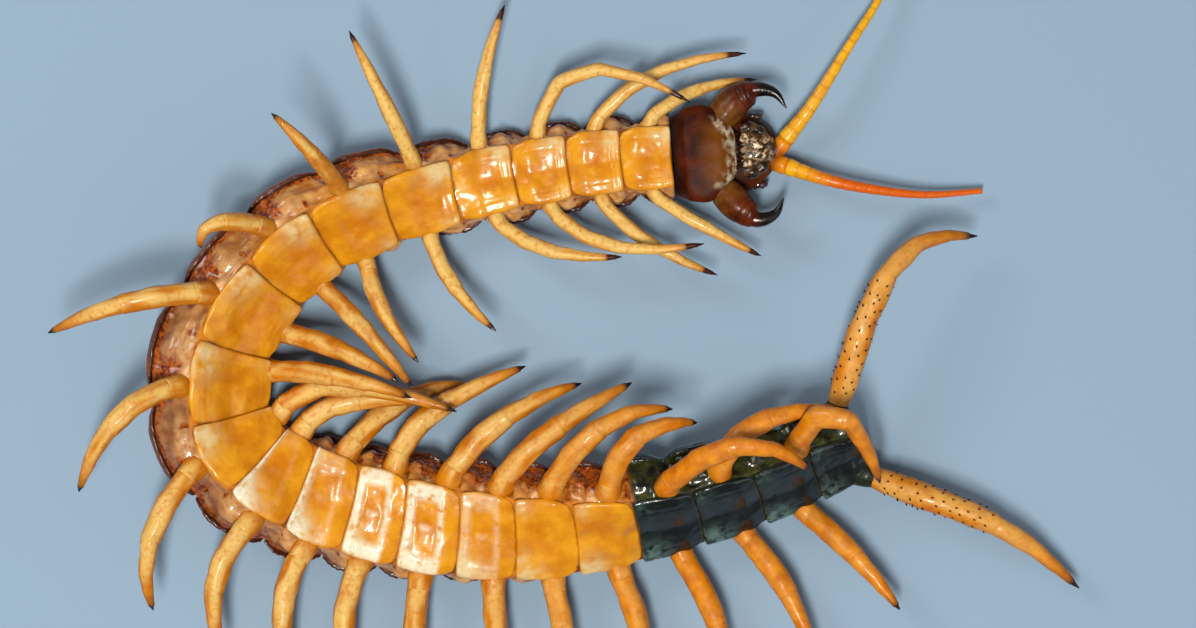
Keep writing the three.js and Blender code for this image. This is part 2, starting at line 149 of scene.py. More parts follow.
class SmoothLine:
    """A Catmull-Rom line through points, read by its share of the points or of its length."""

    def __init__(self, points):
        p = np.array(points, float)
        self.points = np.vstack([2 * p[0] - p[1], p, 2 * p[-1] - p[-2]])
        self.shares = np.linspace(0, 1, 2001)
        self.lengths = lengths_along(self.point(self.shares))

    def point(self, share):
        spans = len(self.points) - 3
        place = np.clip(np.atleast_1d(share), 0, 1) * spans
        k = np.minimum(place.astype(int), spans - 1)
        t = (place - k)[:, None]
        before, low, high, after = (self.points[k + i] for i in range(4))
        return cubic(low, high, (high - before) / 2, (after - low) / 2, t)

    def tangent(self, share):
        low, high = (np.clip(np.atleast_1d(share) + shift, 0, 1) for shift in (-1e-4, 1e-4))
        return unit(self.point(high) - self.point(low))

    def at_length(self, share):
        along = np.atleast_1d(share) * self.lengths[-1]
        return self.point(np.interp(along, self.lengths, self.shares))


body_line = SmoothLine([at(x, y) for x, y in BODY_LINE])
print("body", round(body_line.lengths[-1], 1), "mm long")

# %% [markdown]
# ## A map of the body
#
# Any point of the trunk is named by two numbers: how many segments it is from the neck, and how
# far round the body it lies, from 0 at the middle of the belly to 1 at the middle of the back,
# with the animal's left side negative. One function turns that pair, and a lift off the surface,
# into a place. Skin and plates use it alike, so they always fit each other.

# %% Directions along the body and points on it
section_across = np.array([a for a, _ in PROFILE])
section_up = np.array([b * (BELLY_HEIGHT if b > 0 else BACK_HEIGHT) for _, b in PROFILE])
section_points = np.stack([section_across, section_up], 1)
section_line, section_lengths = SmoothLine(section_points), lengths_along(section_points)
section_places = section_lengths / section_lengths[-1]
BELLY_EDGE, BACK_EDGE = section_places[BELLY_CORNER], section_places[BACK_CORNER] + RIM_SHIFT
print("belly plates reach", round(BELLY_EDGE, 3), "and back plates start at", round(BACK_EDGE, 3))


def body_frames(along):
    """Centre, directions and half width of the body, at places counted in segments from the neck."""
    centre = body_line.point(along / SEGMENTS)
    back = body_line.tangent(along / SEGMENTS)
    outward = np.stack([back[:, 1], -back[:, 0], np.zeros(len(along))], 1)
    roll = np.radians(keyed(ROLL, along + 0.5))[:, None]
    side = outward * np.cos(roll) + UP * np.sin(roll)
    belly = UP * np.cos(roll) - outward * np.sin(roll)
    width = keyed(HALF_WIDTH, along + 0.5)
    heights = belly[:, 2:] * section_up * width[:, None]
    shifts = side[:, 2:] * section_across * width[:, None]
    centre[:, 2] = -np.minimum(heights + shifts, heights - shifts).min(1) - PRESS
    return {
        "centre": centre, "back": back, "outward": outward, "side": side, "belly": belly,
        "width": width, "roll": np.degrees(roll[:, 0]),
    }


def body_frame(along):
    """The same for one place."""
    return {key: value[0] for key, value in body_frames(np.array([float(along)])).items()}


def on_body(along, around, lift=0.0, floor=0.0):
    """Points on the body. They keep above the floor, where the back lies flat."""
    along, around, lift = np.broadcast_arrays(np.asarray(along, float), around, lift)
    shape = along.shape
    body = body_frames(along.ravel())
    turn = (around.ravel() + 1) % 2 - 1
    sign = np.where(turn < 0, -1.0, 1.0)
    share = np.interp(np.abs(turn), section_places, np.linspace(0, 1, len(PROFILE)))
    place, way = section_line.point(share), section_line.tangent(share)
    across = (sign * place[:, 0] * body["width"])[:, None]
    up = (place[:, 1] * body["width"])[:, None]
    normal = body["side"] * (-sign * way[:, 1])[:, None] + body["belly"] * way[:, 0][:, None]
    points = body["centre"] + body["side"] * across + body["belly"] * up
    points = points + normal * lift.ravel()[:, None]
    points[:, 2] = np.maximum(points[:, 2], floor)
    return points.reshape(*shape, 3)


# %% [markdown]
# ## Meshes from rows of points
#
# All surfaces here are grids: rows of points joined by four-sided faces. A tube joins the ends of
# each row, and a plate is two grids joined at their rims. Colour that follows the anatomy, such as
# a dark joint or a brown rim, is painted as named values on the points, and the materials read
# them. Painting in code keeps the marks in place on every leg, with no picture files.

# %% Helpers that make patches and pieces
def patch(rows, closed=False, **paint):
    """A surface from rows of points. A closed one goes round and has a cap at both ends.

    Paint gives a value for each point, or one for all.
    """
    n, m = rows.shape[:2]
    faces = []
    for i in range(n - 1):
        for k in range(m if closed else m - 1):
            a, b = i * m + k, i * m + (k + 1) % m
            faces.append((a, b, b + m, a + m))
    if closed:
        faces.append(tuple(range(m))[::-1])
        faces.append(tuple(range((n - 1) * m, n * m)))
    values = {key: np.broadcast_to(value, (n, m)).ravel() for key, value in paint.items()}
    return rows.reshape(-1, 3), faces, values


def plate(top, under, **paint):
    """A thin closed plate between two grids of the same size."""
    n, m = top.shape[:2]
    points, faces, values = patch(top, **paint)
    below = [tuple(v + n * m for v in face)[::-1] for face in faces]
    rim = [k for k in range(m)] + [i * m + m - 1 for i in range(1, n)]
    rim += [(n - 1) * m + k for k in range(m - 2, -1, -1)] + [i * m for i in range(n - 2, 0, -1)]
    joined = [(a, a + n * m, b + n * m, b) for a, b in zip(rim, rim[1:] + rim[:1])]
    doubled = {key: np.concatenate([value, value]) for key, value in values.items()}
    return np.vstack([points, under.reshape(-1, 3)]), faces + below + joined, doubled



def tube(centres, radii, sides):
    """Rows of points round a line, in millimetres."""
    ways = unit(np.gradient(centres, axis=0))
    normal, angles = np.cross(ways[0], UP), turns(sides)
    rows = []
    for centre, way, radius in zip(centres, ways, radii):
        normal = unit(normal - way * normal.dot(way))
        circle = np.outer(np.cos(angles), normal) + np.outer(np.sin(angles), np.cross(way, normal))
        rows.append(centre + circle * radius)
    return np.array(rows)


def piece(name, patches, material, replaced=()):
    """One object of the model, from patches whose points are in millimetres."""
    points, faces, start = [], [], 0
    paints = {key for _, _, values in patches for key in values}
    painted = {key: [] for key in paints}
    for spots, sides, values in patches:
        points.append(spots)
        faces += [tuple(v + start for v in face) for face in sides]
        for key in paints:
            painted[key].append(values.get(key, np.zeros(len(spots))))
        start += len(spots)
    mesh = bpy.data.meshes.new(name)
    mesh.from_pydata((np.vstack(points) * MM).tolist(), [], faces)
    for key, values in painted.items():
        layer = mesh.attributes.new(key, "FLOAT", "POINT")
        layer.data.foreach_set("value", np.concatenate(values).astype(np.float32))
    bm = bmesh.new()
    bm.from_mesh(mesh)
    bmesh.ops.recalc_face_normals(bm, faces=bm.faces)
    bm.to_mesh(mesh)
    bm.free()
    mesh.shade_smooth()
    mesh.materials.append(material)
    made = bpy.data.objects.new(name, mesh)
    bpy.context.scene.collection.objects.link(made)
    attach(made, "root")
    if replaced:
        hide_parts(*replaced)
    print("made", name, "with", len(mesh.polygons), "faces")


def roughened(points, size, height, seed=0.0):
    """Heights of a soft random relief at points, both in millimetres."""
    spots = points.reshape(-1, 3) / size + seed
    values = np.array([noise.noise(Vector(p)) for p in spots])
    return height * values.reshape(points.shape[:-1])


# %% [markdown]
# ## Glossy, translucent shell
#
# Living shell is thin, waxy and lets light through, so each material is one Principled shader with
# some subsurface light, a clear coat and a fine bump. The helpers below start from two mottled
# colours and lay further colours over them where a value is painted, broken up by noise, so that no
# surface is one flat colour and no mark has a clean edge.

# %% Helpers for materials
COAT_ROUGHNESS = 0.06
LIGHT_REACH = (1.0, 0.45, 0.15)  # how far red, green and blue light spread inside the shell


def colour(red, green, blue):
    """A colour from 0 to 255 as the screen shows it, in the values that shaders use."""
    def linear(v):
        v = v / 255
        return v / 12.92 if v <= 0.04045 else ((v + 0.055) / 1.055) ** 2.4
    return (linear(red), linear(green), linear(blue), 1.0)


class Finish:
    """A material that is built up from mixes of colours."""

    def __init__(self, name, roughness, coat, soft, soft_reach=1.0, mirror=0.5):
        self.material = bpy.data.materials.new(name)
        self.material.use_nodes = True
        self.nodes = self.material.node_tree.nodes
        self.links = self.material.node_tree.links
        self.shader = self.feed(self.nodes["Principled BSDF"], {
            "Roughness": roughness, "Specular IOR Level": mirror,
            "Coat Weight": coat, "Coat Roughness": COAT_ROUGHNESS,
            "Subsurface Weight": soft, "Subsurface Radius": LIGHT_REACH,
            "Subsurface Scale": soft_reach * MM,
        })
        self.place = self.nodes.new("ShaderNodeTexCoord").outputs["Object"]

    def feed(self, node, inputs):
        """Gives each input of a node a value, or a link from the output of another node."""
        for key, value in inputs.items():
            if isinstance(value, bpy.types.NodeSocket):
                self.links.new(value, node.inputs[key])
            else:
                node.inputs[key].default_value = value
        return node

    def add(self, kind, inputs):
        return self.feed(self.nodes.new("ShaderNode" + kind), inputs).outputs

    def painted(self, key):
        node = self.nodes.new("ShaderNodeAttribute")
        node.attribute_name = key
        return node.outputs["Fac"]

    def noise(self, size, detail=3.0):
        """Random values with patches of about the given size in millimetres."""
        inputs = {"Scale": 1 / (size * MM), "Detail": detail, "Vector": self.place}
        return self.add("TexNoise", inputs)["Fac"]

    def between(self, value, low, high):
        """The value stretched so that low becomes 0 and high becomes 1."""
        return self.add("MapRange", {"From Min": low, "From Max": high, "Value": value})["Result"]

    def clouds(self, size, low, high, detail=3.0):
        """Noise stretched between two of its values: the closer they are, the sharper the patches."""
        return self.between(self.noise(size, detail), low, high)

    def times(self, value, other):
        node = self.nodes.new("ShaderNodeMath")
        node.operation = "MULTIPLY"
        return self.feed(node, {0: value, 1: other}).outputs[0]

    def mix(self, amount, low, high):
        """Two colours, each from 0 to 255 or another mix, joined by an amount from 0 to 1."""
        node = self.nodes.new("ShaderNodeMix")
        node.data_type = "RGBA"
        low, high = (colour(*value) if isinstance(value, tuple) else value for value in (low, high))
        return self.feed(node, {"Factor": amount, 6: low, 7: high}).outputs[2]

    def mottled(self, first, second, *clouds):
        """Two colours in clouds of the given size, low, high and detail."""
        return self.mix(self.clouds(*clouds), first, second)

    def layer(self, under, key, shade, *clouds):
        """A colour over another where the key is painted, broken up by clouds if any are given."""
        amount = self.painted(key)
        if clouds:
            amount = self.times(amount, self.clouds(*clouds))
        return self.mix(amount, under, shade)

    def driven(self, socket, amount, low, high):
        """A number of the shader that goes from low to high with an amount."""
        ranged = self.add("MapRange", {"To Min": low, "To Max": high, "Value": amount})["Result"]
        self.feed(self.shader, {socket: ranged})

    def finish(self, base, grain, depth):
        """Sets the colour, and a bump of the given grain and depth in millimetres."""
        inputs = {"Strength": 1.0, "Distance": depth * MM, "Height": self.noise(grain, 4.0)}
        self.feed(self.shader, {"Base Color": base, "Normal": self.add("Bump", inputs)["Normal"]})
        return self.material


# %% [markdown]
# ## Colours of the plates and the skin
#
# Belly plates are amber, with deeper orange in the middle, a pale corner where light shines through
# and a rusty rear edge. Those that look straight up have a white frame, partly their own colour and
# partly a painted highlight. Back plates are rusty with dark rear bands, and both turn blue-black at
# the tail, where the belly plates carry a teal painted highlight at their front corners. The skin
# is peach and glassy on the flanks, rust-red round the leg roots and dull where it meets a plate,
# with a painted sheen on its pads and painted shade in its creases and inside the bend.

# %% Finishes of the plates and the skin
def belly_finish():
    f = Finish("amber belly plate", roughness=0.26, coat=0.22, soft=0.12, soft_reach=0.8, mirror=0.2)
    amber = f.mottled((190, 116, 6), (216, 150, 22), 2.6, 0.35, 0.65)
    middle = f.times(f.painted("spot"), f.times(f.clouds(1.5, 0.3, 0.6), 0.75))
    deep = f.mix(middle, amber, (190, 104, 2))
    corner_lit = f.layer(deep, "ghost", (208, 180, 124), 1.5, 0.3, 0.6)
    # The white frame, bar and ridge: partly the plates' own colour, partly painted highlight.
    pale_frame_and_highlight = f.layer(corner_lit, "rim", (226, 220, 198), 0.8, 0.28, 0.5)
    f.driven("Roughness", f.noise(0.9, 4.0), 0.18, 0.42)
    return f.finish(f.layer(pale_frame_and_highlight, "edge", (128, 64, 12), 1.6, 0.3, 0.6), 0.7, 0.05)


def back_finish():
    f = Finish("rusty back plate", roughness=0.3, coat=0.25, soft=0.08, mirror=0.3)
    rust = f.mottled((124, 50, 8), (170, 84, 18), 2.4, 0.38, 0.62, 4.0)
    banded = f.layer(rust, "band", (66, 24, 6), 1.2, 0.15, 0.5, 4.0)
    f.driven("Roughness", f.noise(0.7, 4.0), 0.2, 0.5)
    return f.finish(f.layer(banded, "edge", (46, 17, 7)), 0.6, 0.09)


def tail_plate_finish():
    f = Finish("blue-black tail plate", roughness=0.24, coat=0.35, soft=0.0, mirror=0.35)
    ink = f.mottled((4, 7, 8), (16, 24, 24), 2.4, 0.4, 0.66)
    # Teal painted highlight on the front corners of the plates.
    pale = f.layer(ink, "ghost", (78, 104, 96), 1.0, 0.35, 0.6)
    f.driven("Roughness", f.noise(0.9, 4.0), 0.16, 0.36)
    return f.finish(f.layer(pale, "edge", (44, 46, 18)), 1.0, 0.04)


def skin_finish():
    f = Finish("soft skin", roughness=0.3, coat=0.5, soft=0.15, soft_reach=0.8, mirror=0.25)
    orange = f.mottled((188, 106, 10), (208, 138, 36), 1.8, 0.35, 0.65)
    peach = f.mottled((170, 98, 24), (204, 142, 60), 1.7, 0.38, 0.62)
    glassy = f.mottled((126, 74, 38), (172, 120, 78), 1.7, 0.38, 0.62)
    flank = f.layer(orange, "pleura", f.layer(peach, "glassy", glassy))
    rooted = f.layer(flank, "root", (206, 132, 34))
    # Painted sheen on the pads.
    milky = f.layer(rooted, "milky", (206, 162, 108), 0.9, 0.2, 0.6, 4.0)
    # Painted shade in the creases.
    crease_shaded = f.mix(f.times(f.painted("hollow"), 0.5), milky, (116, 56, 12))
    # Rust stains by the legs, with painted shade inside the bend.
    stain = f.between(f.times(f.painted("stain"), f.clouds(0.8, 0.2, 0.55, 4.0)), 0.15, 0.55)
    stained_and_shaded = f.mix(stain, crease_shaded, f.mottled((92, 32, 4), (166, 80, 14), 0.5, 0.4, 0.6, 4.0))
    # Pale knobs, partly their own peach colour and partly painted highlight.
    knobs = f.layer(stained_and_shaded, "knob", (222, 176, 128))
    seamed = f.layer(knobs, "seam", f.mottled((120, 60, 10), (190, 112, 22), 2.0, 0.4, 0.6))
    olive = f.mottled((12, 18, 14), (54, 58, 18), 1.4, 0.4, 0.64)
    f.driven("Roughness", f.painted("seam"), 0.27, 0.7)
    f.driven("Coat Weight", f.painted("seam"), 0.5, 0.0)
    return f.finish(f.layer(seamed, "tail", olive), 0.5, 0.07)


belly_material, back_material, skin_material = belly_finish(), back_finish(), skin_finish()
tail_plate_material = tail_plate_finish()
print(len(bpy.data.materials), "materials made")

# %% [markdown]
# ## Where the legs leave the body
#
# Each leg starts under the edge of its belly plate. Its root, the coxa, is a short thick ring that
# comes out of the flank, and the skin rises to meet it. The same plan gives the root's axis to the
# skin, the root and the leg, so it is worked out once, before any of them is made.

# %% Values of the legs
LEG_SIDE, LEG_UP = 0.78, 0.6  # where a leg starts, in shares of the half width and the belly's height
ROOT_OUTSIDE = 1.8  # millimetres of a leg's root outside the flank
ROOT_INSIDE = (2.4, 1.15)  # how far a root starts in from the flank and below its own height
LEG_ARCH, LEG_ARCH_WITH_ROLL, LEG_REACH = 1.2, 0.13, 0.5
LEG_RADIUS = [(1, 0.85), (5, 1.0), (7, 1.2), (8, 1.35), (12, 1.4), (15, 1.45), (20, 1.4)]
# Place along the segment, swing to the head in degrees, foot as pixel x, pixel y and height, and
# where they aren't the usual ones, the share of the way at which the leg bends and its arch
RIGHT_LEGS = [
    (0.5, 52, 758, 78, 2.8), (0.5, 44, 747, 53, 5.5), (0.5, 24, 690, 104, 9.4, 0.7),
    (0.5, 12, 505, 6, 8), (0.5, -14, 352, 34, 12), (0.5, -14, 281, 119, 21),
    (0.5, -40, 208, 249, 15, 1.0), (0.5, -36, 55, 333, 12.5), (0.5, -18, 85, 490, 12),
    (0.4, -16, 157, 608, 10, 0.66), (0.42, 16, 226, 655, 8.5, 0.6), (0.4, 16, 290, 702, 7.5, 0.4),
    (0.38, 14, 356, 722, 7.5, 0.4), (0.42, 4, 432, 738, 7.5), (0.62, -4, 520, 742, 7.5),
    (0.55, -8, 580, 738, 7.5), (0.55, -14, 655, 728, 7), (0.55, -20, 738, 702, 6.5),
    (0.55, -26, 818, 664, 6), (0.55, -32, 900, 610, 6),
]
LEFT_LEGS = [
    (0.5, 52, 762, 256, 4.5), (0.5, 36, 718, 275, 5), (0.5, 34, 704, 244, 9), (0.5, 37, 622, 257, 8),
    (0.5, 11, 497, 331, 9, 0.54), (0.55, -8, 420, 362, 10, 0.48), (0.5, 12, 417, 387, 15.2, 0.35, 2),
    (0.45, 22, 402, 381, 14, 0.55, 3.2), (0.26, 10, 414, 397, 11.9, 0.5, 5.4),
    (0.62, 14, 458, 411, 9.4, 0.37, 0.5), (0.54, -16, 426, 401, 6.5, 0.4, 0.5),
    (0.6, -24, 473, 387, 2.7, 0.66, -1.7), (0.68, -7, 526, 366, 6.2, 0.38, 0),
    (0.7, -30, 582, 383, 8, 0.55), (0.68, -34, 632, 382, 9.5, 0.42),
    (0.6, -34, 672, 408, 12, 0.69, 5.9),
    (0.62, -23, 696, 421, 13.5, 0.69), (0.55, -60, 806, 468, 15.5, 0.75, 9),
    (0.45, -36, 837, 407, 11.4, 0.5, 3.4), (0.82, -46, 878, 482, 10, 1, 13.5),
]
LEFT_TAIL_LEG = [
    (837, 401, 9.2), (850, 355, 11), (867, 308, 12), (893, 262, 11.5), (930, 238, 9), (978, 236, 6),
]
RIGHT_TAIL_LEG = [(877, 478, 5), (925, 497, 6.5), (975, 515, 6.5), (1030, 545, 5.5), (1082, 590, 3.5)]
TAIL_LEG_RADIUS = 1.58
TAIL_ROOT_INSIDE = {"right": 5, "left": 4.5}
SIGNS = {"right": 1, "left": -1}  # for places counted to the right

# %% Work out the plans
class BentLine:
    """A line that leaves its start towards a bend and ends at a foot, read by its length."""

    def __init__(self, start, bend, foot):
        t = np.linspace(0, 1, 400)[:, None]
        self.points = start * (1 - t) ** 2 + bend * 2 * t * (1 - t) + foot * t**2
        self.lengths = lengths_along(self.points)

    def at_length(self, share):
        along = np.atleast_1d(share) * self.lengths[-1]
        return np.stack([np.interp(along, self.lengths, axis) for axis in self.points.T], 1)


def leg_plan(segment, sign, pose):
    """The axis of a leg's root and the line that the leg follows."""
    along, swing, foot_x, foot_y, foot_z = pose[:5]
    reach = pose[5] if len(pose) > 5 else LEG_REACH
    place = segment - 1 + along
    body = body_frame(place)
    arch = pose[6] if len(pose) > 6 else LEG_ARCH + LEG_ARCH_WITH_ROLL * max(sign * body["roll"], 0)
    across, up = sign * LEG_SIDE * body["width"], LEG_UP * BELLY_HEIGHT * body["width"]
    surface = body["centre"] + body["side"] * across + body["belly"] * up
    turn = math.radians(swing)
    level = body["outward"] * sign * math.cos(turn) - body["back"] * math.sin(turn)
    foot = at(foot_x, foot_y, foot_z)
    bend = surface + level * np.hypot(*(foot - surface)[:2]) * reach
    bend[2] = (surface[2] + foot_z) / 2 + arch
    way = unit(bend - surface)
    end = surface + way * (ROOT_OUTSIDE + GAP * 0.95)
    inside = surface - body["side"] * sign * ROOT_INSIDE[0] - body["belly"] * ROOT_INSIDE[1]
    return {
        "segment": segment, "way": way, "exit": on_body(place, sign * (BELLY_EDGE + 0.09), 0.2),
        "root": BentLine(inside, surface + way * 0.4, end), "radius": keyed(LEG_RADIUS, segment),
        "line": BentLine(surface + way * (ROOT_OUTSIDE + GAP), bend, foot),
    }


def tail_leg_plan(side, points):
    """The same for a tail leg, which follows points of the photograph all along."""
    line = SmoothLine([at(*p) for p in points])
    start, way = line.point(0)[0], line.tangent(0)[0]
    inside, end = start - way * TAIL_ROOT_INSIDE[side], start - way * GAP * 0.4
    return {
        "segment": SEGMENTS, "way": way, "exit": inside + way * 2,
        "root": BentLine(inside, (inside + end) / 2, end), "radius": TAIL_LEG_RADIUS, "line": line,
    }


leg_plans = {
    (side, n + 1): leg_plan(n + 1, SIGNS[side], pose)
    for side, poses in (("right", RIGHT_LEGS), ("left", LEFT_LEGS))
    for n, pose in enumerate(poses)
}
leg_plans["right", SEGMENTS] = tail_leg_plan("right", RIGHT_TAIL_LEG)
leg_plans["left", SEGMENTS] = tail_leg_plan("left", LEFT_TAIL_LEG)
print(len(leg_plans), "legs planned")

# %% [markdown]
# ## The soft skin
#
# Between the hard plates a centipede is soft. In each segment the skin swells into pads beside the
# leg and draws in behind it, which scallops the outline, and nine segments have a pair of breathing
# holes. It is one closed mesh from neck to tail, so that no joint shows, and it runs a little under
# the plates. Random relief gives the fine creases, and painted shade darkens their low places.
# Values painted on it place the rust round the legs, painted shade inside the bend, the glassy
# flank at the bend, a painted sheen on the pads, pale knobs that are partly painted highlight and
# the dull seam along the belly plates.

# %% Relief of the skin
TAIL_START = 17  # segments from the neck to where the body turns blue-black
SKIN_ROUND, RINGS_IN_A_SEGMENT = 128, 32  # points round the body and rings along a segment
HOLE_SEGMENTS = [3, 5, 8, 10, 12, 14, 16, 18, 20]
HOLE_PLACE, HOLE_SIZE = (0.68, 0.415), (0.075, 0.026)
WAIST_PLACE, WAIST_DEPTH = 0.66, 0.95
SEGMENT_LENGTH, HALF_ROUND = 6.8, 19.5  # millimetres along a usual segment and half way round it
SKIN_FLOOR = 0.12  # how far the skin keeps above the floor


def near_roots(points):
    """How close points are to the nearest place where a leg leaves the flank, from 0 to 1."""
    closeness = np.zeros(points.shape[:-1])
    for plan in leg_plans.values():
        distance = np.linalg.norm(points - plan["exit"], axis=-1)
        closeness = np.maximum(closeness, bump(distance, 0.0, plan["radius"] * 1.15))
    return closeness


def breathing_holes(along, around):
    """Distance from the nearest breathing hole, which only some of the segments have."""
    across = (along % 1 - HOLE_PLACE[0]) / HOLE_SIZE[0]
    down = (np.abs(around) - HOLE_PLACE[1]) / HOLE_SIZE[1]
    bare = ~np.isin(np.floor(along).astype(int) + 1, HOLE_SEGMENTS)
    return np.hypot(across, down) + 9 * bare


def waist(along, around):
    """How far the flank and the rim draw in behind each leg, which scallops the outline."""
    side = np.abs(around)
    behind = bump((along % 1 - WAIST_PLACE + 0.5) % 1, 0.5, 0.17)
    return WAIST_DEPTH * behind * step(0.3, 0.46, side) * step(0.95, 0.75, side)


def knob(part, side):
    """A small pale knob of each segment, between its leg and its belly plate."""
    return bump(part, 0.36, 0.06) * bump(side, 0.315, 0.03)


def skin_lift(along, around):
    """How far the skin stands off the body map: its folds, pads, creases, knobs and holes."""
    part, side = along % 1, np.abs(around)
    to_fold = np.minimum(part, 1 - part)
    covered = step(BELLY_EDGE + 0.03, BELLY_EDGE - 0.02, side) + step(BACK_EDGE, BACK_EDGE + 0.04, side)
    flank = 1 - covered
    pad = bump((part + 0.38) % 1, 0.5, 0.2) * bump(side, 0.41, 0.08)
    small_pad = bump(part, 0.68, 0.09) * bump(side, 0.4, 0.06)
    crease = bump(part, 0.33, 0.03) + bump(part, 0.92, 0.03) + bump(part, 0.6, 0.025)
    folded = 0.22 * crease * bump(side, 0.42, 0.12)
    lift = flank * (0.85 * pad + 0.4 * small_pad - 0.25 - folded) + 0.3 * knob(part, side)
    hole = breathing_holes(along, around)
    lift = lift + 0.22 * bump(hole, 1.15, 0.4) - 0.4 * bump(hole, 0, 0.7)
    return lift - covered * 0.3 - bump(to_fold, 0, 0.03) * 0.12 - waist(along, around)


# %% Make the skin
def inner_bend(along, around):
    """The left flank behind the bend, where the skin is in shade."""
    return (around < 0) * step(10, 12, along)


def skin_stain_and_shade(along, around):
    """Dark rust by the legs and along the back plates, darker at the breathing holes, and painted shade
    inside the bend.
    """
    part, side = along % 1, np.abs(around)
    stain = 1.4 * bump(part, 0.37, 0.12) * bump(side, 0.42, 0.075)
    stain = stain + bump(part, 0.97, 0.05) * bump(side, 0.33, 0.035)
    stain = stain + 0.9 * bump(part, 0.64, 0.08) * bump(side, 0.46, 0.06)
    stain = stain + 0.8 * bump(side, BACK_EDGE, 0.035)
    stain = stain + 1.5 * bump(breathing_holes(along, around), 0, 0.8)
    return np.clip(stain + 0.55 * inner_bend(along, around) * bump(side, 0.44, 0.12), 0, 1)


def make_skin():
    """The skin as rings from neck to tail, closed by a few small rings at the tail."""
    along = np.linspace(0.0, SEGMENTS, SEGMENTS * RINGS_IN_A_SEGMENT + 1)[:, None]
    around = np.linspace(-1, 1, SKIN_ROUND + 1)[None, :-1]
    part, side = along % 1, np.abs(around)
    lift = skin_lift(along, around)
    flat = on_body(along, around, lift, SKIN_FLOOR)
    flank = step(BELLY_EDGE, BELLY_EDGE + 0.04, side) * step(BACK_EDGE + 0.06, BACK_EDGE + 0.03, side)
    stretched = np.stack(np.broadcast_arrays(along * 2.4, side * 44, np.sign(around) * 7.0), -1)
    wrinkles = roughened(stretched, 1.0, 0.18) * step(BACK_EDGE, BACK_EDGE - 0.12, side)
    relief = roughened(flat, 1.6, 0.26) + wrinkles
    lift = lift + relief * flank + roughened(flat, 0.8, 0.06)
    close = near_roots(on_body(along, around, lift)) * flank
    rows = on_body(along, around, lift + 0.8 * close, SKIN_FLOOR)
    end = body_frame(SEGMENTS)
    closing = [end["centre"] + (rows[-1] - end["centre"]) * size + end["back"] * shift
               for size, shift in ((0.86, 0.35), (0.6, 0.7), (0.3, 0.85))]
    # Painted sheen on the pads, weaker behind the bend, where the left flank is in shade.
    milky = bump((part + 0.4) % 1, 0.5, 0.22) * bump(side, 0.35, 0.06)
    # Painted shade in a curved crease round the outer front corner of each belly plate, and, below, in the
    # low places of the relief.
    past_fold = ((part + 0.5) % 1 - 0.5) * SEGMENT_LENGTH - 0.3
    past_plate = (side - BELLY_EDGE) * HALF_ROUND - 0.2
    ring = bump(np.hypot(past_fold, past_plate), 1.25, 0.16) * flank
    paint = {
        "glassy": bump(along, 9.2, 2.6), "pleura": flank, "stain": skin_stain_and_shade(along, around),
        "seam": step(BELLY_EDGE + 0.022, BELLY_EDGE + 0.006, side), "knob": knob(part, side),
        "hollow": np.clip(step(0.0, -0.17, relief) * (1 - 0.7 * close) + ring, 0, 1),
        "milky": milky * (1 - 0.7 * inner_bend(along, around)), "root": close,
        "tail": step(TAIL_START - 0.06, TAIL_START + 0.1, along),
    }
    paint = {key: np.broadcast_to(value, close.shape) for key, value in paint.items()}
    paint = {key: np.vstack([value, *[value[-1:]] * len(closing)]) for key, value in paint.items()}
    rows = np.concatenate([rows, closing])
    piece("body_membrane", [patch(rows, closed=True, **paint)], skin_material,
          [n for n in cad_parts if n.startswith("trunk_")])


make_skin()

# %% [markdown]
# ## Belly plates
#
# Each segment has one squarish plate on its belly, glossy and amber, with a frame round a sunken
# field and a small bar in the middle. The frame is strong on plates 13 to 15 and faint elsewhere,
# and plates 11 and 12 begin with a pale ridge. The white of frame, bar and ridge is partly the
# plates' own colour and partly a painted highlight. A plate is a grid over the body map with a
# height for each point: its edges sink into the skin, and two furrows run beside the middle. Two
# grids make it a real shell with a thickness. Three pieces hold all of them, to keep each mesh light.

# %% Make the belly plates
PLATE_THICKNESS = 0.35
BELLY_REACH = (0.005, 1.0)  # where a plate starts and ends along its segment
BELLY_WIDTH = 1.045
BELLY_SPREAD, BACK_SPREAD = 0.68, 1.25  # from the middle to the rim of a plate, in half widths
# How strong each plate's frame is, in relief and in white paint that is partly painted highlight.
FRAMED = {11: 0.3, 12: 0.5, 13: 1.0, 14: 1.0, 15: 0.6}  # how strong a plate's frame is
PLAIN_FRAME = 0.1
CROWDING = 1.7  # how much closer together the points are near a plate's rim
RIDGED = (10, 11)  # the plates whose front edge is a pale ridge, counted from 0


def spaced(count):
    """Values from -1 to 1 that crowd towards both ends."""
    t = np.linspace(-1, 1, count)
    return np.sign(t) * (1 - (1 - np.abs(t)) ** CROWDING)


def plate_grid(across, down, front, rear):
    """Places on a plate with rounded corners: across from -1 to 1 and down from 0 to 1."""
    x, y = np.meshgrid(spaced(across), spaced(down))
    corner = np.where(y < 0, front, rear)
    return x, (y + 1) / 2, x * (1 - corner * np.abs(y) ** 6), (1 + y * (1 - corner * np.abs(x) ** 6)) / 2


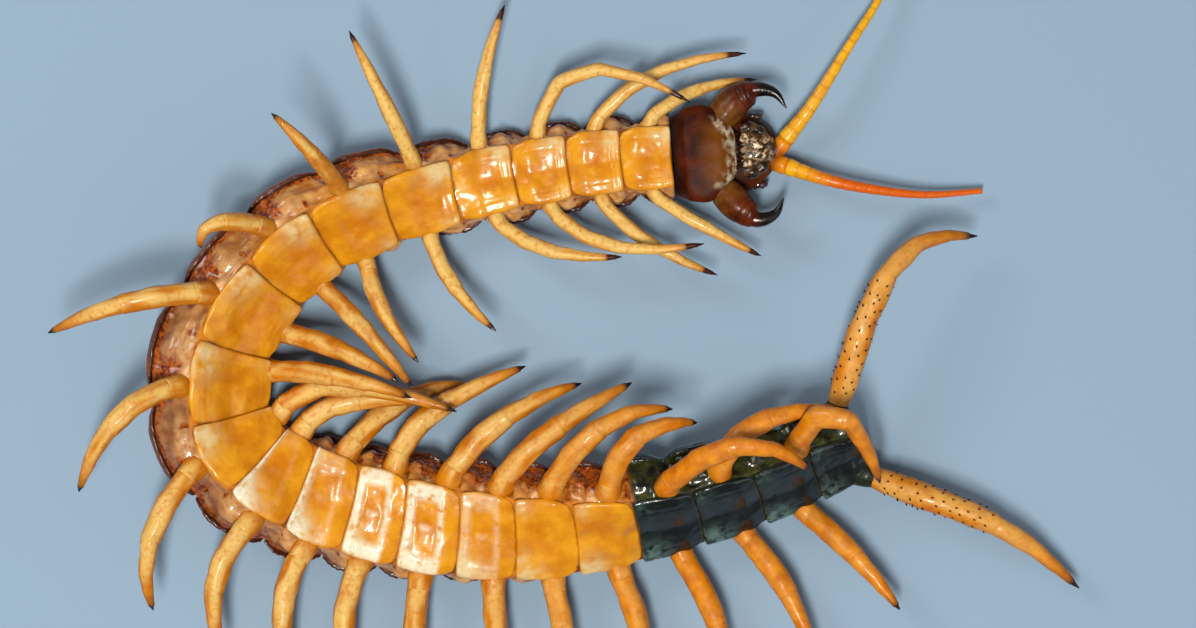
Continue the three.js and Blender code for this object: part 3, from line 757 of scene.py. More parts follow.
def belly_plate(index):
    """The belly plate of one segment, counted from 0, with its height and its paint."""
    x, y, across, down = plate_grid(65, 53, front=0.045, rear=0.09)
    start, end = BELLY_REACH
    framed = FRAMED.get(index + 1, PLAIN_FRAME)
    last = index == SEGMENTS - 1
    taper = 1 - 0.25 * down if last else 0.9 + 0.1 * np.sin(math.pi * (0.08 + 0.8 * down))
    along = index + start + (end - start) * down + (0 if last else 0.035 * (1 - x**2) - 0.03)
    aside = (1 - np.abs(x)) * body_frame(index + 0.5)["width"] * BELLY_SPREAD
    ahead = y * SEGMENT_LENGTH
    field = step(0.66, 0.5, np.abs(x)) * step(0.14, 0.24, y) * step(0.68, 0.56, y)
    bar = bump(x, 0, 0.07) * step(0.26, 0.32, y) * step(0.56, 0.5, y)
    relief = 0.06 if index >= TAIL_START else 0.18
    oval = np.hypot(x / 0.42, (y - 0.42) / 0.24)
    lift = 0.22 - 0.5 * np.exp(-aside / 0.12) - 0.4 * np.exp(-ahead / 0.07) - 0.5 * step(0.66, 1.06, y)
    lift = lift + (0.05 + 0.1 * (index in RIDGED)) * bump(ahead, 0.35, 0.22) + 0.04 * bump(aside, 0.6, 0.35)
    lift = lift - 0.24 * framed * field * (0.5 + 0.5 * np.clip(oval, 0, 1))
    lift = lift - 0.04 * (1 - framed) * bump(oval, 1.0, 0.35) + 0.16 * framed * bar
    lift = lift - 0.05 * bump(np.abs(x), 0.6, 0.03) * step(0.1, 0.3, y) * step(0.9, 0.7, y)
    lift = lift - 0.05 * bump(y, 0.2, 0.02)
    around = across * BELLY_EDGE * BELLY_WIDTH * taper
    flat = on_body(along, around)
    lift = lift + roughened(flat, 2.2, relief, index) + roughened(flat, 0.7, 0.03, index)
    top = on_body(along, around, lift)
    under = on_body(along, around, lift - PLATE_THICKNESS)
    # Pale front corners where light shines through; on the tail plates this paint is a teal painted
    # highlight.
    ghost = 1.5 * bump(x, 0.8, 0.38) * bump(y, 0.16, 0.24) + 0.5 * bump(x, -0.8, 0.22) * bump(y, 0.14, 0.15)
    # The white frame and bar, and the pale front ridge of plates 11 and 12, are partly own colour and
    # partly painted highlight, strongest on the plates that face straight up.
    ridge = (index in RIDGED) * (bump(y, 0.05, 0.04) + bump(x, 0.95, 0.4) * bump(y, 0.12, 0.2))
    pale_frame_and_highlight = step(0.96, 0.86, np.abs(x)) * step(0.01, 0.06, y) * step(0.76, 0.66, y) * (1 - field)
    pale_frame_and_highlight = 0.8 * framed * framed * (pale_frame_and_highlight + 0.8 * bar)
    line = bump(aside, 0.05, 0.12) + 0.8 * bump((1 - y) * SEGMENT_LENGTH, 0.0, 0.16)
    spot = bump(np.hypot(x / 0.75, (y - 0.45) / 0.4), 0.0, 0.8)
    return plate(top, under, spot=spot, ghost=np.clip(ghost, 0, 1), edge=np.clip(line, 0, 1),
                 rim=np.clip(pale_frame_and_highlight + ridge, 0, 0.9))


# First and last plate of each piece of plates
PLATE_GROUPS = [(1, 9), (10, TAIL_START), (TAIL_START + 1, SEGMENTS)]


def plate_groups(name, make_plate, body_material):
    """All plates of the belly or the back, in one piece for each group."""
    for first, last in PLATE_GROUPS:
        plates = [make_plate(index) for index in range(first - 1, last)]
        tail = first > TAIL_START
        material, slot = (tail_plate_material, "dark_shell") if tail else (body_material, "amber_shell")
        piece(f"{name}_{first:02d}_{last:02d}", plates, material)


plate_groups("belly_plates", belly_plate, belly_material)

# %% [markdown]
# ## Back plates
#
# Wider plates, long and short in turn, cover the back. Each lies a third of a segment nearer the
# head than its belly plate, so that its beaded side margins swell out beside the legs and its rear
# end draws in with the skin. The back rests on the floor, so only the margins show from above. The
# plates use the same map, going round the other side of the body.

# %% Make the back plates
SHORT_BACK_PLATES = {2, 4, 6, 9, 11, 13, 15, 17, 19}
BEADS = 9  # bumps along the margin of a plate
BACK_SHIFT = 1 - WAIST_PLACE  # how much nearer the head a back plate lies than its belly plate
BACK_PLATE_LENGTH = 7.5  # millimetres, of a usual one


def back_plate(index):
    """The back plate of one segment, counted from 0."""
    x, y, across, down = plate_grid(81, 61, front=0.03, rear=0.05)
    short = index + 1 in SHORT_BACK_PLATES
    start = max(index - BACK_SHIFT, 0) + 0.006 * short
    end = SEGMENTS if index == SEGMENTS - 1 else index + 1 - BACK_SHIFT - 0.008 * short
    along = start + (end - start) * down
    aside = (1 - np.abs(x)) * body_frame(index + 0.5)["width"] * BACK_SPREAD
    ends = np.minimum(y, 1 - y) * BACK_PLATE_LENGTH
    scallop = np.sin(math.pi * y) ** 0.6
    lift = 0.04 + 0.12 * scallop * step(3.0, 1.0, aside)
    lift = lift - 0.4 * np.exp(-aside / 0.12) - 0.22 * np.exp(-ends / 0.08)
    lift = lift + 0.12 * bump(aside, 0.35, 0.25) - 0.1 * bump(aside, 0.9, 0.25)
    lift = lift + 0.05 * bump(aside, 0.3, 0.3) * np.cos(2 * math.pi * BEADS * y)
    lift = lift - 0.08 * bump(np.abs(x), 0.3, 0.02)
    half = (1 - BACK_EDGE) * (0.99 if short else 1.0) * (0.975 + 0.025 * scallop)
    around = 1 + across * half
    flat = on_body(along, around)
    lift = lift - waist(along, (around + 1) % 2 - 1)
    lift = lift + roughened(flat, 1.6, 0.14, 40 + index)
    lift = lift + roughened(flat, 0.6, 0.06, index) * step(2.2, 0.6, aside)
    top = on_body(along, around, lift)
    under = on_body(along, around, lift - PLATE_THICKNESS, floor=0.05)
    line = bump(aside, 0.08, 0.16) + 0.3 * bump(aside, 0.9, 0.12)
    band = 0.85 * step(0.8, 0.95, y) + 0.75 * step(2.0, 0.7, aside)
    return plate(top, under, band=np.clip(band, 0, 1), edge=np.clip(line, 0, 1))


plate_groups("back_plates", back_plate, back_material)

# %% [markdown]
# ## Legs
#
# A leg is a row of hard articles with a soft joint between each two. From the body out they are
# the root, a thick first length, two middle lengths, two slim feet and a dark claw. One tube whose
# radius swells and drops makes all but the root and the claw. Its line is part curve and part
# straight pieces between joints, because real legs bend only at their joints. Pale streaks of
# painted highlight run along the upper side, the dark joints carry painted shade on their underside,
# the legs grow redder to the tail, and those near the head have dark ends.

# %% Finish of the legs
def leg_finish():
    f = Finish("yellow leg", roughness=0.36, coat=0.12, soft=0.12, soft_reach=0.8, mirror=0.2)
    yellow = f.mottled((176, 94, 0), (196, 122, 4), 1.6, 0.35, 0.65)
    # Pale streaks of painted highlight on the upper side, and the legs' own pale colour near the head.
    pale = f.layer(yellow, "pale", (214, 176, 98), 0.6, 0.2, 0.5, 4.0)
    deep = f.layer(pale, "deep", f.mottled((184, 94, 0), (216, 132, 4), 1.5, 0.36, 0.64))
    # Dark joints, with painted shade on their undersides, and dark tips.
    tipped = f.layer(f.layer(deep, "joint", (140, 72, 14)), "tip", (60, 24, 10))
    f.driven("Roughness", f.noise(0.8, 4.0), 0.26, 0.5)
    return f.finish(f.layer(tipped, "tail", (30, 36, 26)), 0.35, 0.05)


def claw_finish():
    f = Finish("black claw", roughness=0.22, coat=0.15, soft=0.0, mirror=0.35)
    black = f.mottled((6, 5, 5), (20, 10, 7), 0.8, 0.4, 0.6)
    f.driven("Roughness", f.noise(0.6), 0.16, 0.34)
    return f.finish(f.layer(black, "root", (70, 22, 8)), 0.3, 0.03)


leg_material, claw_material = leg_finish(), claw_finish()

# %% Shapes of the legs
# Radius along a leg, over its greatest, and where its five articles meet
LEG_SHAPE = [
    (0, 1.0), (0.05, 0.99), (0.13, 1.0), (0.23, 1.0), (0.36, 0.98), (0.45, 0.92), (0.5, 0.84),
    (0.6, 0.77), (0.71, 0.66), (0.79, 0.56), (0.87, 0.44), (0.93, 0.33), (0.96, 0.27),
]
LEG_JOINTS = (0.0, 0.23, 0.47, 0.71, 0.87)
TAIL_LEG_SHAPE = [
    (0, 0.86), (0.06, 0.98), (0.14, 1.05), (0.3, 1.0), (0.34, 0.94), (0.44, 0.97), (0.54, 0.84),
    (0.63, 0.8), (0.72, 0.68), (0.8, 0.58), (0.87, 0.46), (0.93, 0.35), (0.96, 0.28),
]
TAIL_LEG_JOINTS = (0.0, 0.32, 0.54, 0.72, 0.87)
KNEE = 2  # the joint where a leg bends most
LEG_END = 0.955  # where the last article ends and the claw starts
LEG_STIFFNESS = 0.8  # 1 makes the articles straight, 0 leaves the leg one smooth curve
LEG_SIDES = 24
LEG_DEEP = [(1, 0.0), (13, 0.0), (15, 0.2), (17, 0.5), (18, 0.75), (20, 0.6), (21, 0.3)]
PALE_LEGS, LONG_TIPS = [(4, 1.0), (6, 0.3), (9, 0.0)], [(4, 0.86), (6, 0.92)]
PLUG = 0.5  # how far a leg runs into its root


def streaks(rows, centres, radii, segment):
    """How far each point faces up, from -1 to 1, broken up by soft lines that run along the leg."""
    sides = turns(LEG_SIDES)
    far = np.linalg.norm(centres - centres[0], axis=1)[:, None]
    spots = np.stack(np.broadcast_arrays(0.25 * far, 1.6 * np.cos(sides), 1.6 * np.sin(sides)), -1)
    upward = (rows - centres[:, None])[..., 2] / radii[:, None]
    return upward, roughened(spots, 1.0, 1.0, 3.7 * segment)


def pale_and_highlight(upward, streak, segment, fade):
    """How pale a leg is: a painted highlight in streaks on its upper side, and its own pale colour all over
    near the head.
    """
    return 0.9 * step(0.35, 1.0, upward + 0.8 * streak) * fade + 0.4 * keyed(PALE_LEGS, segment)


# %% Make the walking legs, their roots and claws
def leg_rings(joints):
    """Shares along a leg, close together at the joints."""
    near = np.array([-0.03, -0.018, -0.011, -0.005, 0.0, 0.005, 0.011, 0.02])
    shares = [np.linspace(0, LEG_END, 46)] + [joint + near for joint in joints[1:]]
    shares = np.unique(np.round(np.concatenate(shares), 4))
    return shares[np.concatenate([[True], np.diff(shares) > 0.003])]


def jointed_line(line, joints, shares):
    """Centres along a leg whose articles are nearly straight."""
    corners = [*joints, LEG_END]
    straight = np.stack([np.interp(shares, corners, axis) for axis in line.at_length(corners).T], 1)
    return LEG_STIFFNESS * straight + (1 - LEG_STIFFNESS) * line.at_length(shares)


def leg_patch(plan, shape, joints):
    """A leg from the end of its root to the start of its claw."""
    shares = leg_rings(joints)
    centres = jointed_line(plan["line"], joints, shares)
    notch, lip = np.zeros(len(shares)), np.zeros(len(shares))
    for k, joint in enumerate(joints[1:], 1):
        notch += bump(shares, joint, 0.006) * (1.0 if k == KNEE else 0.35)
        lip += bump(shares, joint - 0.02, 0.014) * (1.0 if k == KNEE else 0.3)
    segment = plan["segment"]
    radii = eased(shape, shares) * (1 - 0.05 * notch + 0.035 * lip) * plan["radius"]
    rows = tube(centres, radii, LEG_SIDES)
    upward, streak = streaks(rows, centres, radii, segment)
    rows = rows + (rows - centres[:, None]) * (roughened(rows, 1.6, 0.1) + 0.05 * streak)[..., None]
    # Painted highlight along the upper side, fading towards the tip.
    pale = pale_and_highlight(upward, streak, segment, step(0.99, 0.6, shares)[:, None])
    deep = np.clip(keyed(LEG_DEEP, segment) + 0.15 * step(0.5, 0.9, shares), 0, 1)[:, None]
    # Dark joints, made darker on the underside by painted shade.
    joint = np.clip(notch[:, None] * (0.2 - 0.15 * upward), 0, 1)
    tip_start = keyed(LONG_TIPS, segment)
    tip = step(tip_start, tip_start + 0.04, shares)[:, None] + 0.3 * step(0.8, 0.9, shares)[:, None]
    plug = centres[0] + 0.95 * (rows[:1] - centres[0]) - plan["way"] * PLUG
    pale = np.clip(pale * (1 - 0.6 * deep), 0, 1)
    paint = {"joint": joint, "deep": deep, "pale": pale, "tip": np.clip(tip, 0, 1)}
    paint = {key: np.concatenate([value[:1], value]) for key, value in paint.items()}
    return patch(np.concatenate([plug, rows]), closed=True, **paint)


def claw_patch(plan):
    """The claw at a leg's end."""
    t = np.linspace(0, 1, 14)
    centres = plan["line"].at_length(LEG_END - 0.015 + (1.015 - LEG_END) * t)
    radii = plan["radius"] * (0.27 * (1 - t) ** 0.75 + 0.012)
    return patch(tube(centres, radii, 14), closed=True, root=step(0.2, 0.0, t)[:, None])


def root_patch(plan):
    """A leg's root, which grows out of the flank below the edge of the belly plate."""
    t = np.linspace(0, 1, 22)
    segment, centres = plan["segment"], plan["root"].at_length(t)
    tail = segment == SEGMENTS
    end_size = TAIL_LEG_SHAPE[0][1] if tail else LEG_SHAPE[0][1]
    size = eased([(0, 0.9), (0.3, 1.08), (0.5, 1.16), (0.65, 1.12), (0.85, 1.03), (1, end_size)], t)
    radii = size * plan["radius"]
    rows = tube(centres, radii, LEG_SIDES)
    upward, streak = streaks(rows, centres, radii, segment)
    rows = rows + (rows - centres[:, None]) * roughened(rows, 1.6, 0.1)[..., None]
    # Painted highlight along the upper side, fading in towards the body.
    pale = pale_and_highlight(upward, streak, segment, step(0.4, 0.9, t)[:, None])
    # The root's inner end is darkened with painted shade where it goes into the flank.
    return patch(rows, closed=True, deep=keyed(LEG_DEEP, segment), pale=np.clip(pale, 0, 1),
                 joint=0.5 * step(0.45, 0.25, t)[:, None], tail=1.0 * tail)


piece("leg_roots", [root_patch(plan) for plan in leg_plans.values()], leg_material)
for (side, n), plan in leg_plans.items():
    if n < SEGMENTS:
        piece(f"walking_leg_{side}_{n:02d}", [leg_patch(plan, LEG_SHAPE, LEG_JOINTS)], leg_material,
              [f"leg_{side}_{n:02d}"])
piece("leg_claws", [claw_patch(plan) for plan in leg_plans.values()], claw_material)
print("legs made, each with", len(LEG_JOINTS), "articles")

# %% [markdown]
# ## Tail legs
#
# The last pair is the strongest. Its legs are thick and orange-red, with rows of small dark spines
# on their first two articles, and their roots are as dark as the tail. The spines are set on the
# surface by the same line and radius as the leg, so that none floats.

# %% Make the tail legs
SPINE_LENGTH, SPINE_RADIUS, CONE_SIDES = 0.36, 0.11, 10
SPINE_ANGLES = (-10, 30, 62, 96, 130, 170, 205)  # degrees round the leg, one for each row
luck = np.random.default_rng(7)


def cone(base, way, length, radius):
    """A small blunt cone, for spines and teeth."""
    t = np.linspace(0, 1, 7)
    centres = base + np.outer(t * length, way)
    rows = tube(centres, radius * (1 - t) ** 0.7 + 0.02, CONE_SIDES)
    return patch(rows, closed=True, root=step(0.4, 0.0, t)[:, None])


def tail_spines(plan):
    """Small spines in rows along the first two articles."""
    spines = []
    for row, middle_angle in enumerate(SPINE_ANGLES):
        for even in np.arange(0.05 + 0.02 * (row % 2), 0.5, 0.055):
            share, angle = even + luck.uniform(-0.012, 0.012), middle_angle + luck.uniform(-9, 9)
            middle, ahead = plan["line"].at_length([share, share + 0.01])
            way = unit(ahead - middle)
            level = unit(np.cross(way, UP))
            high = np.cross(level, way)
            out = level * math.cos(math.radians(angle)) + high * math.sin(math.radians(angle))
            base = middle + out * plan["radius"] * eased(TAIL_LEG_SHAPE, share)[0] * 0.97
            spines.append(cone(base, unit(out + 0.9 * way), SPINE_LENGTH, SPINE_RADIUS))
    return spines


spines = []
for side in SIGNS:
    plan = leg_plans[side, SEGMENTS]
    piece(f"tail_leg_{side}", [leg_patch(plan, TAIL_LEG_SHAPE, TAIL_LEG_JOINTS)], leg_material,
          [f"leg_{side}_{SEGMENTS}"])
    spines += tail_spines(plan)
piece("tail_leg_spines", spines, claw_material)

# %% [markdown]
# ## The head
#
# The head is a flat capsule. With the animal on its back it lies under the plate that carries the
# poison claws, so only its sides and front show. Places on the head are counted forward, to the
# right and up from the neck.

# %% Directions of the head
neck = body_frame(0)


def in_head(forward, right, height):
    """Points of the head from places forward, to the right and up, each a number or an array."""
    forward, right, height = np.broadcast_arrays(forward, right, height)
    base = np.array([neck["centre"][0], neck["centre"][1], 0.0])
    return (base - forward[..., None] * neck["back"] + right[..., None] * neck["outward"]
            + height[..., None] * UP)


# For each ring of a capsule: forward, half width, lowest and highest place
HEAD_RINGS = [
    (1.6, 4.0, 0.5, 3.6), (3.0, 5.0, 0.05, 4.1), (5.2, 5.5, -0.2, 4.3), (7.6, 5.45, -0.25, 4.4),
    (9.6, 4.9, -0.2, 4.4), (11.4, 3.8, 0.1, 4.2), (12.7, 2.5, 0.6, 3.8), (13.4, 1.3, 1.2, 3.2),
]
CLAW_PLATE_RINGS = [
    (0.15, 4.9, 0.3, 6.4), (1.3, 5.4, 0.15, 7.2), (1.9, 5.8, 4.2, 7.5), (4.2, 6.1, 4.6, 7.7),
    (6.0, 5.1, 4.7, 7.7), (7.3, 3.6, 4.8, 7.0), (8.0, 2.4, 5.0, 6.3),
]
HEAD_SQUARENESS = 0.8


def square(v):
    """A sine or cosine changed so that a ring becomes a rounded square."""
    return np.sign(v) * np.abs(v) ** HEAD_SQUARENESS


def head_rows(rings, count, sides):
    """A capsule from rings, with the places forward and right of each point."""
    numbered = [(i, *ring) for i, ring in enumerate(rings)]
    forward, half, low, high = eased(numbered, np.linspace(0, len(rings) - 1, count)).T
    angle = turns(sides)[None]
    right = half[:, None] * square(np.cos(angle))
    height = ((low + high) / 2)[:, None] + ((high - low) / 2)[:, None] * square(np.sin(angle))
    forward = np.broadcast_to(forward[:, None], right.shape)
    return forward, right, height


# %% Make the head
def head_finish():
    f = Finish("dark head shell", roughness=0.45, coat=0.0, soft=0.05, mirror=0.09)
    maroon = f.mottled((40, 9, 2), (76, 25, 3), 2.4, 0.38, 0.62)
    olive = f.mix(f.times(f.painted("front"), 0.9), maroon, (106, 58, 8))
    pale = f.layer(olive, "pale", (190, 178, 152), 0.8, 0.4, 0.6, 5.0)
    f.driven("Roughness", f.noise(1.2, 4.0), 0.36, 0.6)
    return f.finish(f.layer(pale, "edge", (20, 9, 7)), 0.6, 0.05)


head_material = head_finish()


def make_capsule():
    forward, right, height = head_rows(HEAD_RINGS, 60, 72)
    height = height + 0.12 * bump(right, 0, 0.5) * step(8, 11, forward) * (height > 3)
    points = in_head(forward, right, height)
    height = height + roughened(points, 1.2, 0.12, 3.0)
    rows = in_head(forward, right, np.maximum(height, 0.02))
    front = step(8.5, 12.5, forward) * 0.5
    piece("head_capsule", [patch(rows, closed=True, front=front)], head_material, ["head"])


make_capsule()

# %% Make the plate that carries the poison claws
TOOTH_RADII, TOOTH_LENGTH = (0.26, 0.3, 0.28, 0.24), 0.95  # of each side, from the middle out


def make_claw_plate():
    forward, right, height = head_rows(CLAW_PLATE_RINGS, 56, 80)
    top = step(5.5, 6.4, height)
    groove = 0.12 * bump(right, 0, 0.2) * step(2.0, 4.5, forward)
    seam = 0.1 * bump(np.abs(right) - 1.2 - 0.45 * (7.5 - forward), 0, 0.14) * step(3.0, 4.5, forward)
    height = height - top * (groove + seam)
    height = height + roughened(in_head(forward, right, height), 2.0, 0.16, 9.0) * top
    rows = in_head(forward, right, np.maximum(height, 0.0))
    front = step(2.4, 6.0, forward) * step(5.2, 2.4, np.abs(right))
    behind = 7.7 - 0.1 * right**2 - forward + roughened(rows, 1.0, 0.9, 5.0)
    pale = 0.9 * step(1.2, 0.2, behind) * step(4.8, 3.6, np.abs(right)) * step(5.0, 6.0, height)
    parts = [patch(rows, closed=True, front=front, pale=pale, edge=step(1.2, 0.2, forward))]
    for sign in (1, -1):
        for k, radius in enumerate(TOOTH_RADII):
            base = in_head(8.25 - 0.12 * k, sign * (0.5 + 0.52 * k), 5.95)
            points, faces, _ = cone(base, -neck["back"], TOOTH_LENGTH, radius)
            parts.append((points, faces, {"edge": np.full(len(points), 0.7)}))
    piece("claw_bearing_plate", parts, head_material, ["claw_plate"])


make_claw_plate()

# %% [markdown]
# ## Poison claws
#
# The first pair of legs has become a pair of curved claws. Each is a thick reddish base, two short
# rings and a long black fang that narrows to a needle point. The base and the fang are separate
# pieces, because the fang is harder and darker.

# %% Make the poison claws
# The right claw is half closed and the left one stands wide open
FANG_LINES = {
    "right": [(6.4, 4.4, 5.2), (8.7, 6.4, 5.8), (11.1, 7.2, 6.3), (13.3, 6.7, 6.6), (14.7, 4.8, 6.9)],
    "left": [(6.2, 4.9, 5.2), (8.0, 7.1, 5.8), (10.1, 8.5, 6.3), (12.2, 8.1, 6.6), (13.5, 6.3, 6.9)],
}
BASE_SHAPE = [(0, 0.94), (0.1, 0.99), (0.24, 0.98), (0.38, 0.86), (0.46, 0.77), (0.5, 0.68), (0.53, 0.45)]
FANG_SHAPE = [(0.5, 0.5), (0.56, 0.46), (0.64, 0.4), (0.75, 0.3), (0.88, 0.17), (1, 0.03)]
FANG_RADIUS = 2.1
BASE_END, FANG_START = 0.53, 0.5
FANG_ASIDE = 0.3  # how far the fang's root stands to the outer side of the base's end
NOTCHES = (0.36, 0.45)  # the joints between the base and its two short rings
SUNK = 1.6  # how far the base runs into the plate behind it


def poison_finish():
    f = Finish("red-brown claw base", roughness=0.32, coat=0.06, soft=0.08, mirror=0.14)
    brown = f.mottled((54, 13, 2), (98, 36, 4), 1.8, 0.35, 0.65)
    olive = f.layer(brown, "front", (104, 66, 18), 1.1, 0.3, 0.6)
    f.driven("Roughness", f.noise(0.9, 4.0), 0.24, 0.46)
    return f.finish(f.layer(olive, "joint", (34, 12, 8)), 0.4, 0.06)


poison_material = poison_finish()


def base_radii(shares):
    """Radii of a poison claw's base, with a notch at each joint."""
    radii = eased(BASE_SHAPE, shares) * FANG_RADIUS
    for notch in NOTCHES:
        radii = radii - 0.05 * bump(shares, notch, 0.007) + 0.02 * bump(shares, notch - 0.02, 0.012)
    return radii


def head_line(points, sign):
    """A smooth line through places of the head, on the right for a sign of 1."""
    forward, right, height = np.array(points).T
    return SmoothLine(in_head(forward, right * sign, height))


def make_poison_claw(side):
    """The base and the fang of one poison claw."""
    sign = SIGNS[side]
    line = head_line(FANG_LINES[side], sign)
    shares = np.linspace(0, BASE_END, 64)
    rows = tube(line.at_length(shares), base_radii(shares), 36)
    start, way = line.point(0)[0], line.tangent(0)[0]
    inner = np.linspace(0.15, 1, 6)[:-1]
    sunk = [start - way * (1 - size) * SUNK + (rows[0] - start) * size for size in inner]
    rows = np.concatenate([sunk, rows])
    rows = rows + roughened(rows, 1.5, 0.12, 2.0)[..., None] * UP
    shares = np.concatenate([np.zeros(len(sunk)), shares])
    joint = sum(bump(shares, notch, 0.008) for notch in NOTCHES)[:, None]
    olive = bump(shares, 0.1, 0.16)[:, None]
    base = patch(rows, closed=True, joint=0.6 * np.clip(joint, 0, 1), front=olive)
    piece(f"poison_claw_base_{side}", [base], poison_material, [f"poison_claw_{side}"])
    shares = np.linspace(FANG_START, 1, 60)
    middles = line.at_length(shares)
    outer = unit(np.cross(UP, np.gradient(middles, axis=0)) * sign)
    middles = middles + outer * (FANG_ASIDE * np.linspace(1, 0, 60))[:, None]
    rows = tube(middles, eased(FANG_SHAPE, shares) * FANG_RADIUS, 28)
    fang = patch(rows, closed=True, root=step(0.62, 0.52, shares)[:, None])
    piece(f"poison_fang_{side}", [fang], claw_material)


for side in SIGNS:
    make_poison_claw(side)

# %% [markdown]
# ## Mouthparts and eyes
#
# In front of the claw plate lie two pairs of small jaws with a pair of jointed palps, dark and wet
# with pale pads. The eyes are four black domes at each side of the head, each in a low rim.

# %% Make the mouthparts
PALP_LINE = [(8.9, 2.6, 5.5), (10.4, 2.7, 5.7), (11.7, 1.7, 5.6), (12.2, 0.7, 5.3)]
PALP_SHAPE = [(0, 1), (0.3, 1.1), (0.38, 0.85), (0.62, 0.95), (0.7, 0.7), (0.88, 0.6), (1, 0.15)]
PALP_RADIUS = 0.75


def mouth_finish():
    f = Finish("wet mouthparts", roughness=0.25, coat=0.35, soft=0.15, mirror=0.3)
    brown = f.mottled((30, 14, 6), (84, 58, 24), 1.1, 0.42, 0.58, 5.0)
    return f.finish(f.layer(brown, "pale", (216, 184, 144), 0.6, 0.46, 0.58, 4.0), 0.35, 0.08)


mouth_material = mouth_finish()


def lobe(place, radii, **paint):
    """A soft egg-shaped lobe with a random relief."""
    polar = np.linspace(0.03, math.pi - 0.03, 22)[:, None]
    angle = turns(28)[None]
    parts = (np.cos(polar) + 0 * angle, np.sin(polar) * np.cos(angle), np.sin(polar) * np.sin(angle))
    size = 1 + roughened(np.stack(parts, -1), 0.8, 0.16, place[0])
    forward, right, height = (p + r * v * size for p, r, v in zip(place, radii, parts))
    return patch(in_head(forward, right, height), closed=True, **paint)


def make_mouthparts():
    shares = np.linspace(0, 1, 50)
    parts = [
        lobe((10.2, 0, 5.1), (2.3, 2.6, 1.05), pale=0.25),
        lobe((12.3, 0, 4.6), (0.8, 1.5, 0.6), pale=0.2),
    ]
    for sign in (1, -1):
        parts.append(lobe((10.7, 0.62 * sign, 5.75), (1.35, 0.7, 0.55), pale=1.0))
        parts.append(lobe((9.5, 1.5 * sign, 5.8), (0.9, 0.8, 0.45), pale=0.8))
        middles = head_line(PALP_LINE, sign).at_length(shares)
        rows = tube(middles, eased(PALP_SHAPE, shares) * PALP_RADIUS, 22)
        parts.append(patch(rows, closed=True, pale=0.5 * step(0.7, 0.9, shares)[:, None]))
    piece("mouth_jaws", parts, mouth_material, ["mouthparts"])


make_mouthparts()

# %% Make the eyes
EYE_MOUND = {"place": (10.7, 4.3, 1.9), "radii": (1.25, 0.55, 0.95)}
EYE_PLACES = [(-0.5, 0.24, -0.3), (0.42, 0.24, -0.36), (-0.34, 0.24, 0.38), (0.5, 0.24, 0.3)]
EYE_RADIUS = 0.34


def eye_finish():
    f = Finish("black eye", roughness=0.08, coat=1.0, soft=0.0)
    black = f.mottled((6, 6, 8), (16, 15, 20), 0.5, 0.4, 0.6)
    return f.finish(f.layer(black, "pale", (58, 24, 14)), 0.4, 0.01)


eye_material = eye_finish()


def make_eyes(side):
    sign = SIGNS[side]
    forward, out, height = EYE_MOUND["place"]
    parts = [lobe((forward, out * sign, height), EYE_MOUND["radii"], pale=0.8)]
    for ahead, aside, above in EYE_PLACES:
        place = (forward + ahead, (out + aside) * sign, height + above)
        parts.append(lobe(place, (EYE_RADIUS * 1.2, EYE_RADIUS * 0.6, EYE_RADIUS * 1.2), pale=0.6))
        parts.append(lobe(place, (EYE_RADIUS, EYE_RADIUS * 0.95, EYE_RADIUS), pale=0.0))
    piece(f"eye_group_{side}", parts, eye_material, [f"eyes_{side}"])


for side in SIGNS:
    make_eyes(side)

# %% [markdown]
# ## Feelers
#
# Each feeler is a chain of 17 articles, thick at the head and thin as thread at its tip. The right
# one is golden yellow, and the left one turns orange-red along its length.

# %% Make the feelers
ANTENNAE = {
    "right": [(787, 138, 3.2), (813, 104, 4.6), (850, 45, 4.4), (880, -2, 3.4), (903, -52, 2.2)],
    "left": [(789, 166, 3.2), (830, 180, 4.6), (875, 189, 4.2), (928, 194, 3.2), (985, 190, 2)],
}
ANTENNA_ARTICLES = 17
ANTENNA_RADIUS = (1.2, 0.35)  # at the root and at the tip
RINGS_IN_AN_ARTICLE = 9
SOCKET_DEPTH, SOCKET_LENGTH = 3.0, 2.9  # the collar that joins a feeler to the head


def antenna_finish():
    f = Finish("golden feeler", roughness=0.38, coat=0.2, soft=0.2, mirror=0.3)
    gold = f.mottled((212, 144, 0), (226, 168, 14), 1.2, 0.35, 0.65)
    red = f.layer(gold, "warm", (206, 90, 0))
    return f.finish(f.layer(red, "joint", (140, 66, 6)), 0.25, 0.03)


antenna_material = antenna_finish()


def make_antenna(side, points):
    line = SmoothLine([at(*p) for p in points])
    shares = np.linspace(0, 1, ANTENNA_ARTICLES * RINGS_IN_AN_ARTICLE + 1)
    root, tip = ANTENNA_RADIUS
    part = (shares * ANTENNA_ARTICLES) % 1
    joint = bump(np.minimum(part, 1 - part), 0, 0.1)
    radii = (root + (tip - root) * np.sqrt(shares)) * (1 - 0.08 * joint)
    warm = step(0.04, 0.3, shares) if side == "left" else 0.0 * shares
    feeler = patch(tube(line.at_length(shares), radii, 20), closed=True, warm=warm[:, None],
                   joint=0.25 * joint[:, None])
    start, way = line.point(0)[0], line.tangent(0)[0]
    t = np.linspace(0, 1, 10)
    middles = start - way * SOCKET_DEPTH + np.outer(t * SOCKET_LENGTH, way)
    socket = tube(middles, eased([(0, 1.0), (0.5, 1.08), (0.85, 1.12), (1, 1.0)], t), 24)
    collar = patch(socket, closed=True, warm=0.5, joint=0.9 * step(0.75, 0.4, t)[:, None])
    piece(f"feeler_{side}", [feeler, collar], antenna_material, [f"antenna_{side}"])


for side, points in ANTENNAE.items():
    make_antenna(side, points)

# %% [markdown]
# ## Floor, light and camera
#
# The photograph looks straight down on the belly, so the camera hangs over the animal, level with
# the page. Most light comes from a strong lamp high up near the camera, which makes the bright
# frames on the plates that face straight up. A soft window on the left and a weak fill open the
# shadows.

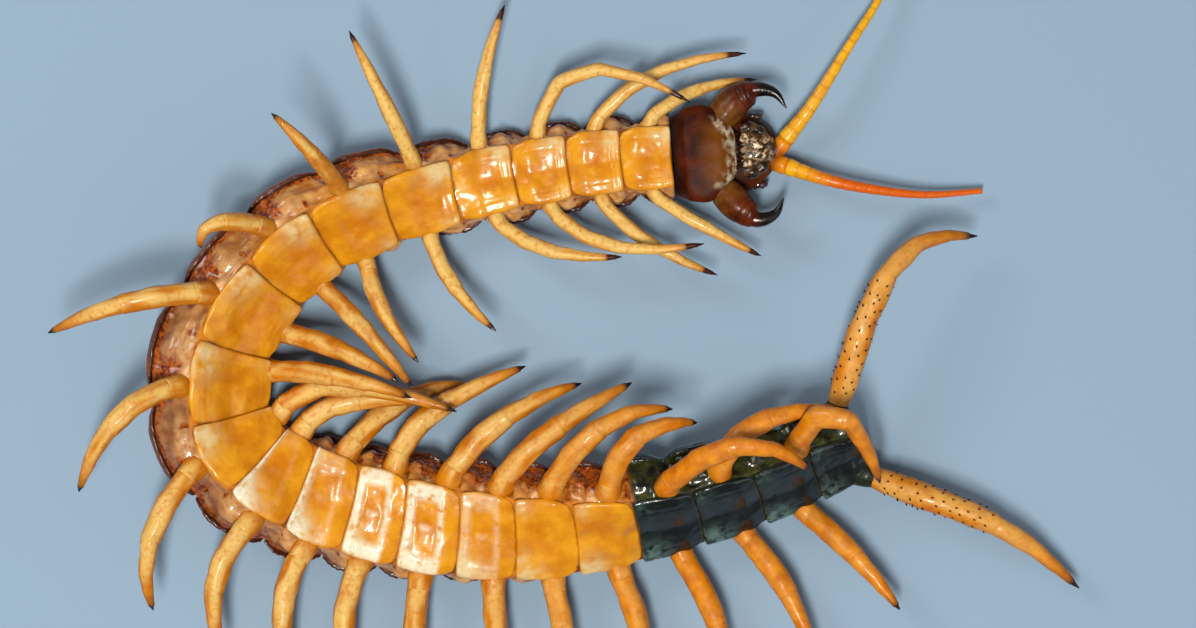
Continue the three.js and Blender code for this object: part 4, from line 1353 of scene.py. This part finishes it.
# %% Set the scene
CAMERA_PIXEL = (598, 314)  # the middle of the 1196 by 628 picture
CAMERA_HEIGHT = 500.0
PLATE_LEVEL = 6.0  # height of the belly, where a pixel is one eighth of a millimetre
PICTURE_WIDTH = 1196
FLOOR_HALF = 1.5  # metres
# Name, place, aim and size in metres, power in watts and tint of each lamp
LAMPS = [
    ("sun", (-0.06, -0.22, 0.85), (-0.02, 0, 0), (0.1, 0.25), 7.8, (1.0, 0.96, 0.88)),
    ("window", (-0.4, 0.3, 0.45), (0, 0, 0), (0.25, 0.25), 1.6, (1.0, 0.97, 0.93)),
    ("fill", (0.45, -0.3, 0.35), (0, 0, 0), (0.4, 0.4), 0.6, (1.0, 1.0, 1.0)),
]


def add_floor():
    mesh = bpy.data.meshes.new("floor")
    corners = [(-1, -1), (1, -1), (1, 1), (-1, 1)]
    mesh.from_pydata([(x * FLOOR_HALF, y * FLOOR_HALF, 0) for x, y in corners], [], [(0, 1, 2, 3)])
    paper = bpy.data.materials.new("pale floor")
    paper.use_nodes = True
    shader = paper.node_tree.nodes["Principled BSDF"]
    shader.inputs["Base Color"].default_value = colour(132, 156, 178)
    shader.inputs["Roughness"].default_value = 0.9
    mesh.materials.append(paper)
    floor = bpy.data.objects.new("floor", mesh)
    bpy.context.scene.collection.objects.link(floor)


def add_lamp(name, place, aim, size, power, tint):
    lamp = bpy.data.lights.new(name, "AREA")
    lamp.shape = "RECTANGLE"
    lamp.size, lamp.size_y = size
    lamp.energy = power
    lamp.color = tint
    made = bpy.data.objects.new(name, lamp)
    made.location = place
    made.rotation_euler = (Vector(aim) - Vector(place)).to_track_quat("-Z", "Y").to_euler()
    bpy.context.scene.collection.objects.link(made)


def add_camera():
    data = bpy.data.cameras.new("camera")
    data.sensor_width = 36.0
    distance = CAMERA_HEIGHT - PLATE_LEVEL
    data.lens = data.sensor_width * distance / (PICTURE_WIDTH * PIXEL)
    camera = bpy.data.objects.new("camera", data)
    x, y, _ = at(*CAMERA_PIXEL)
    camera.location = (x * MM, y * MM, CAMERA_HEIGHT * MM)
    bpy.context.scene.collection.objects.link(camera)
    bpy.context.scene.camera = camera


add_floor()
for values in LAMPS:
    add_lamp(*values)
add_camera()
world = bpy.data.worlds.new("studio")
world.use_nodes = True
background = world.node_tree.nodes["Background"]
background.inputs["Color"].default_value = (0.95, 0.95, 1.0, 1.0)
background.inputs["Strength"].default_value = 0.16
bpy.context.scene.world = world
bpy.context.scene.view_settings.view_transform = "Standard"
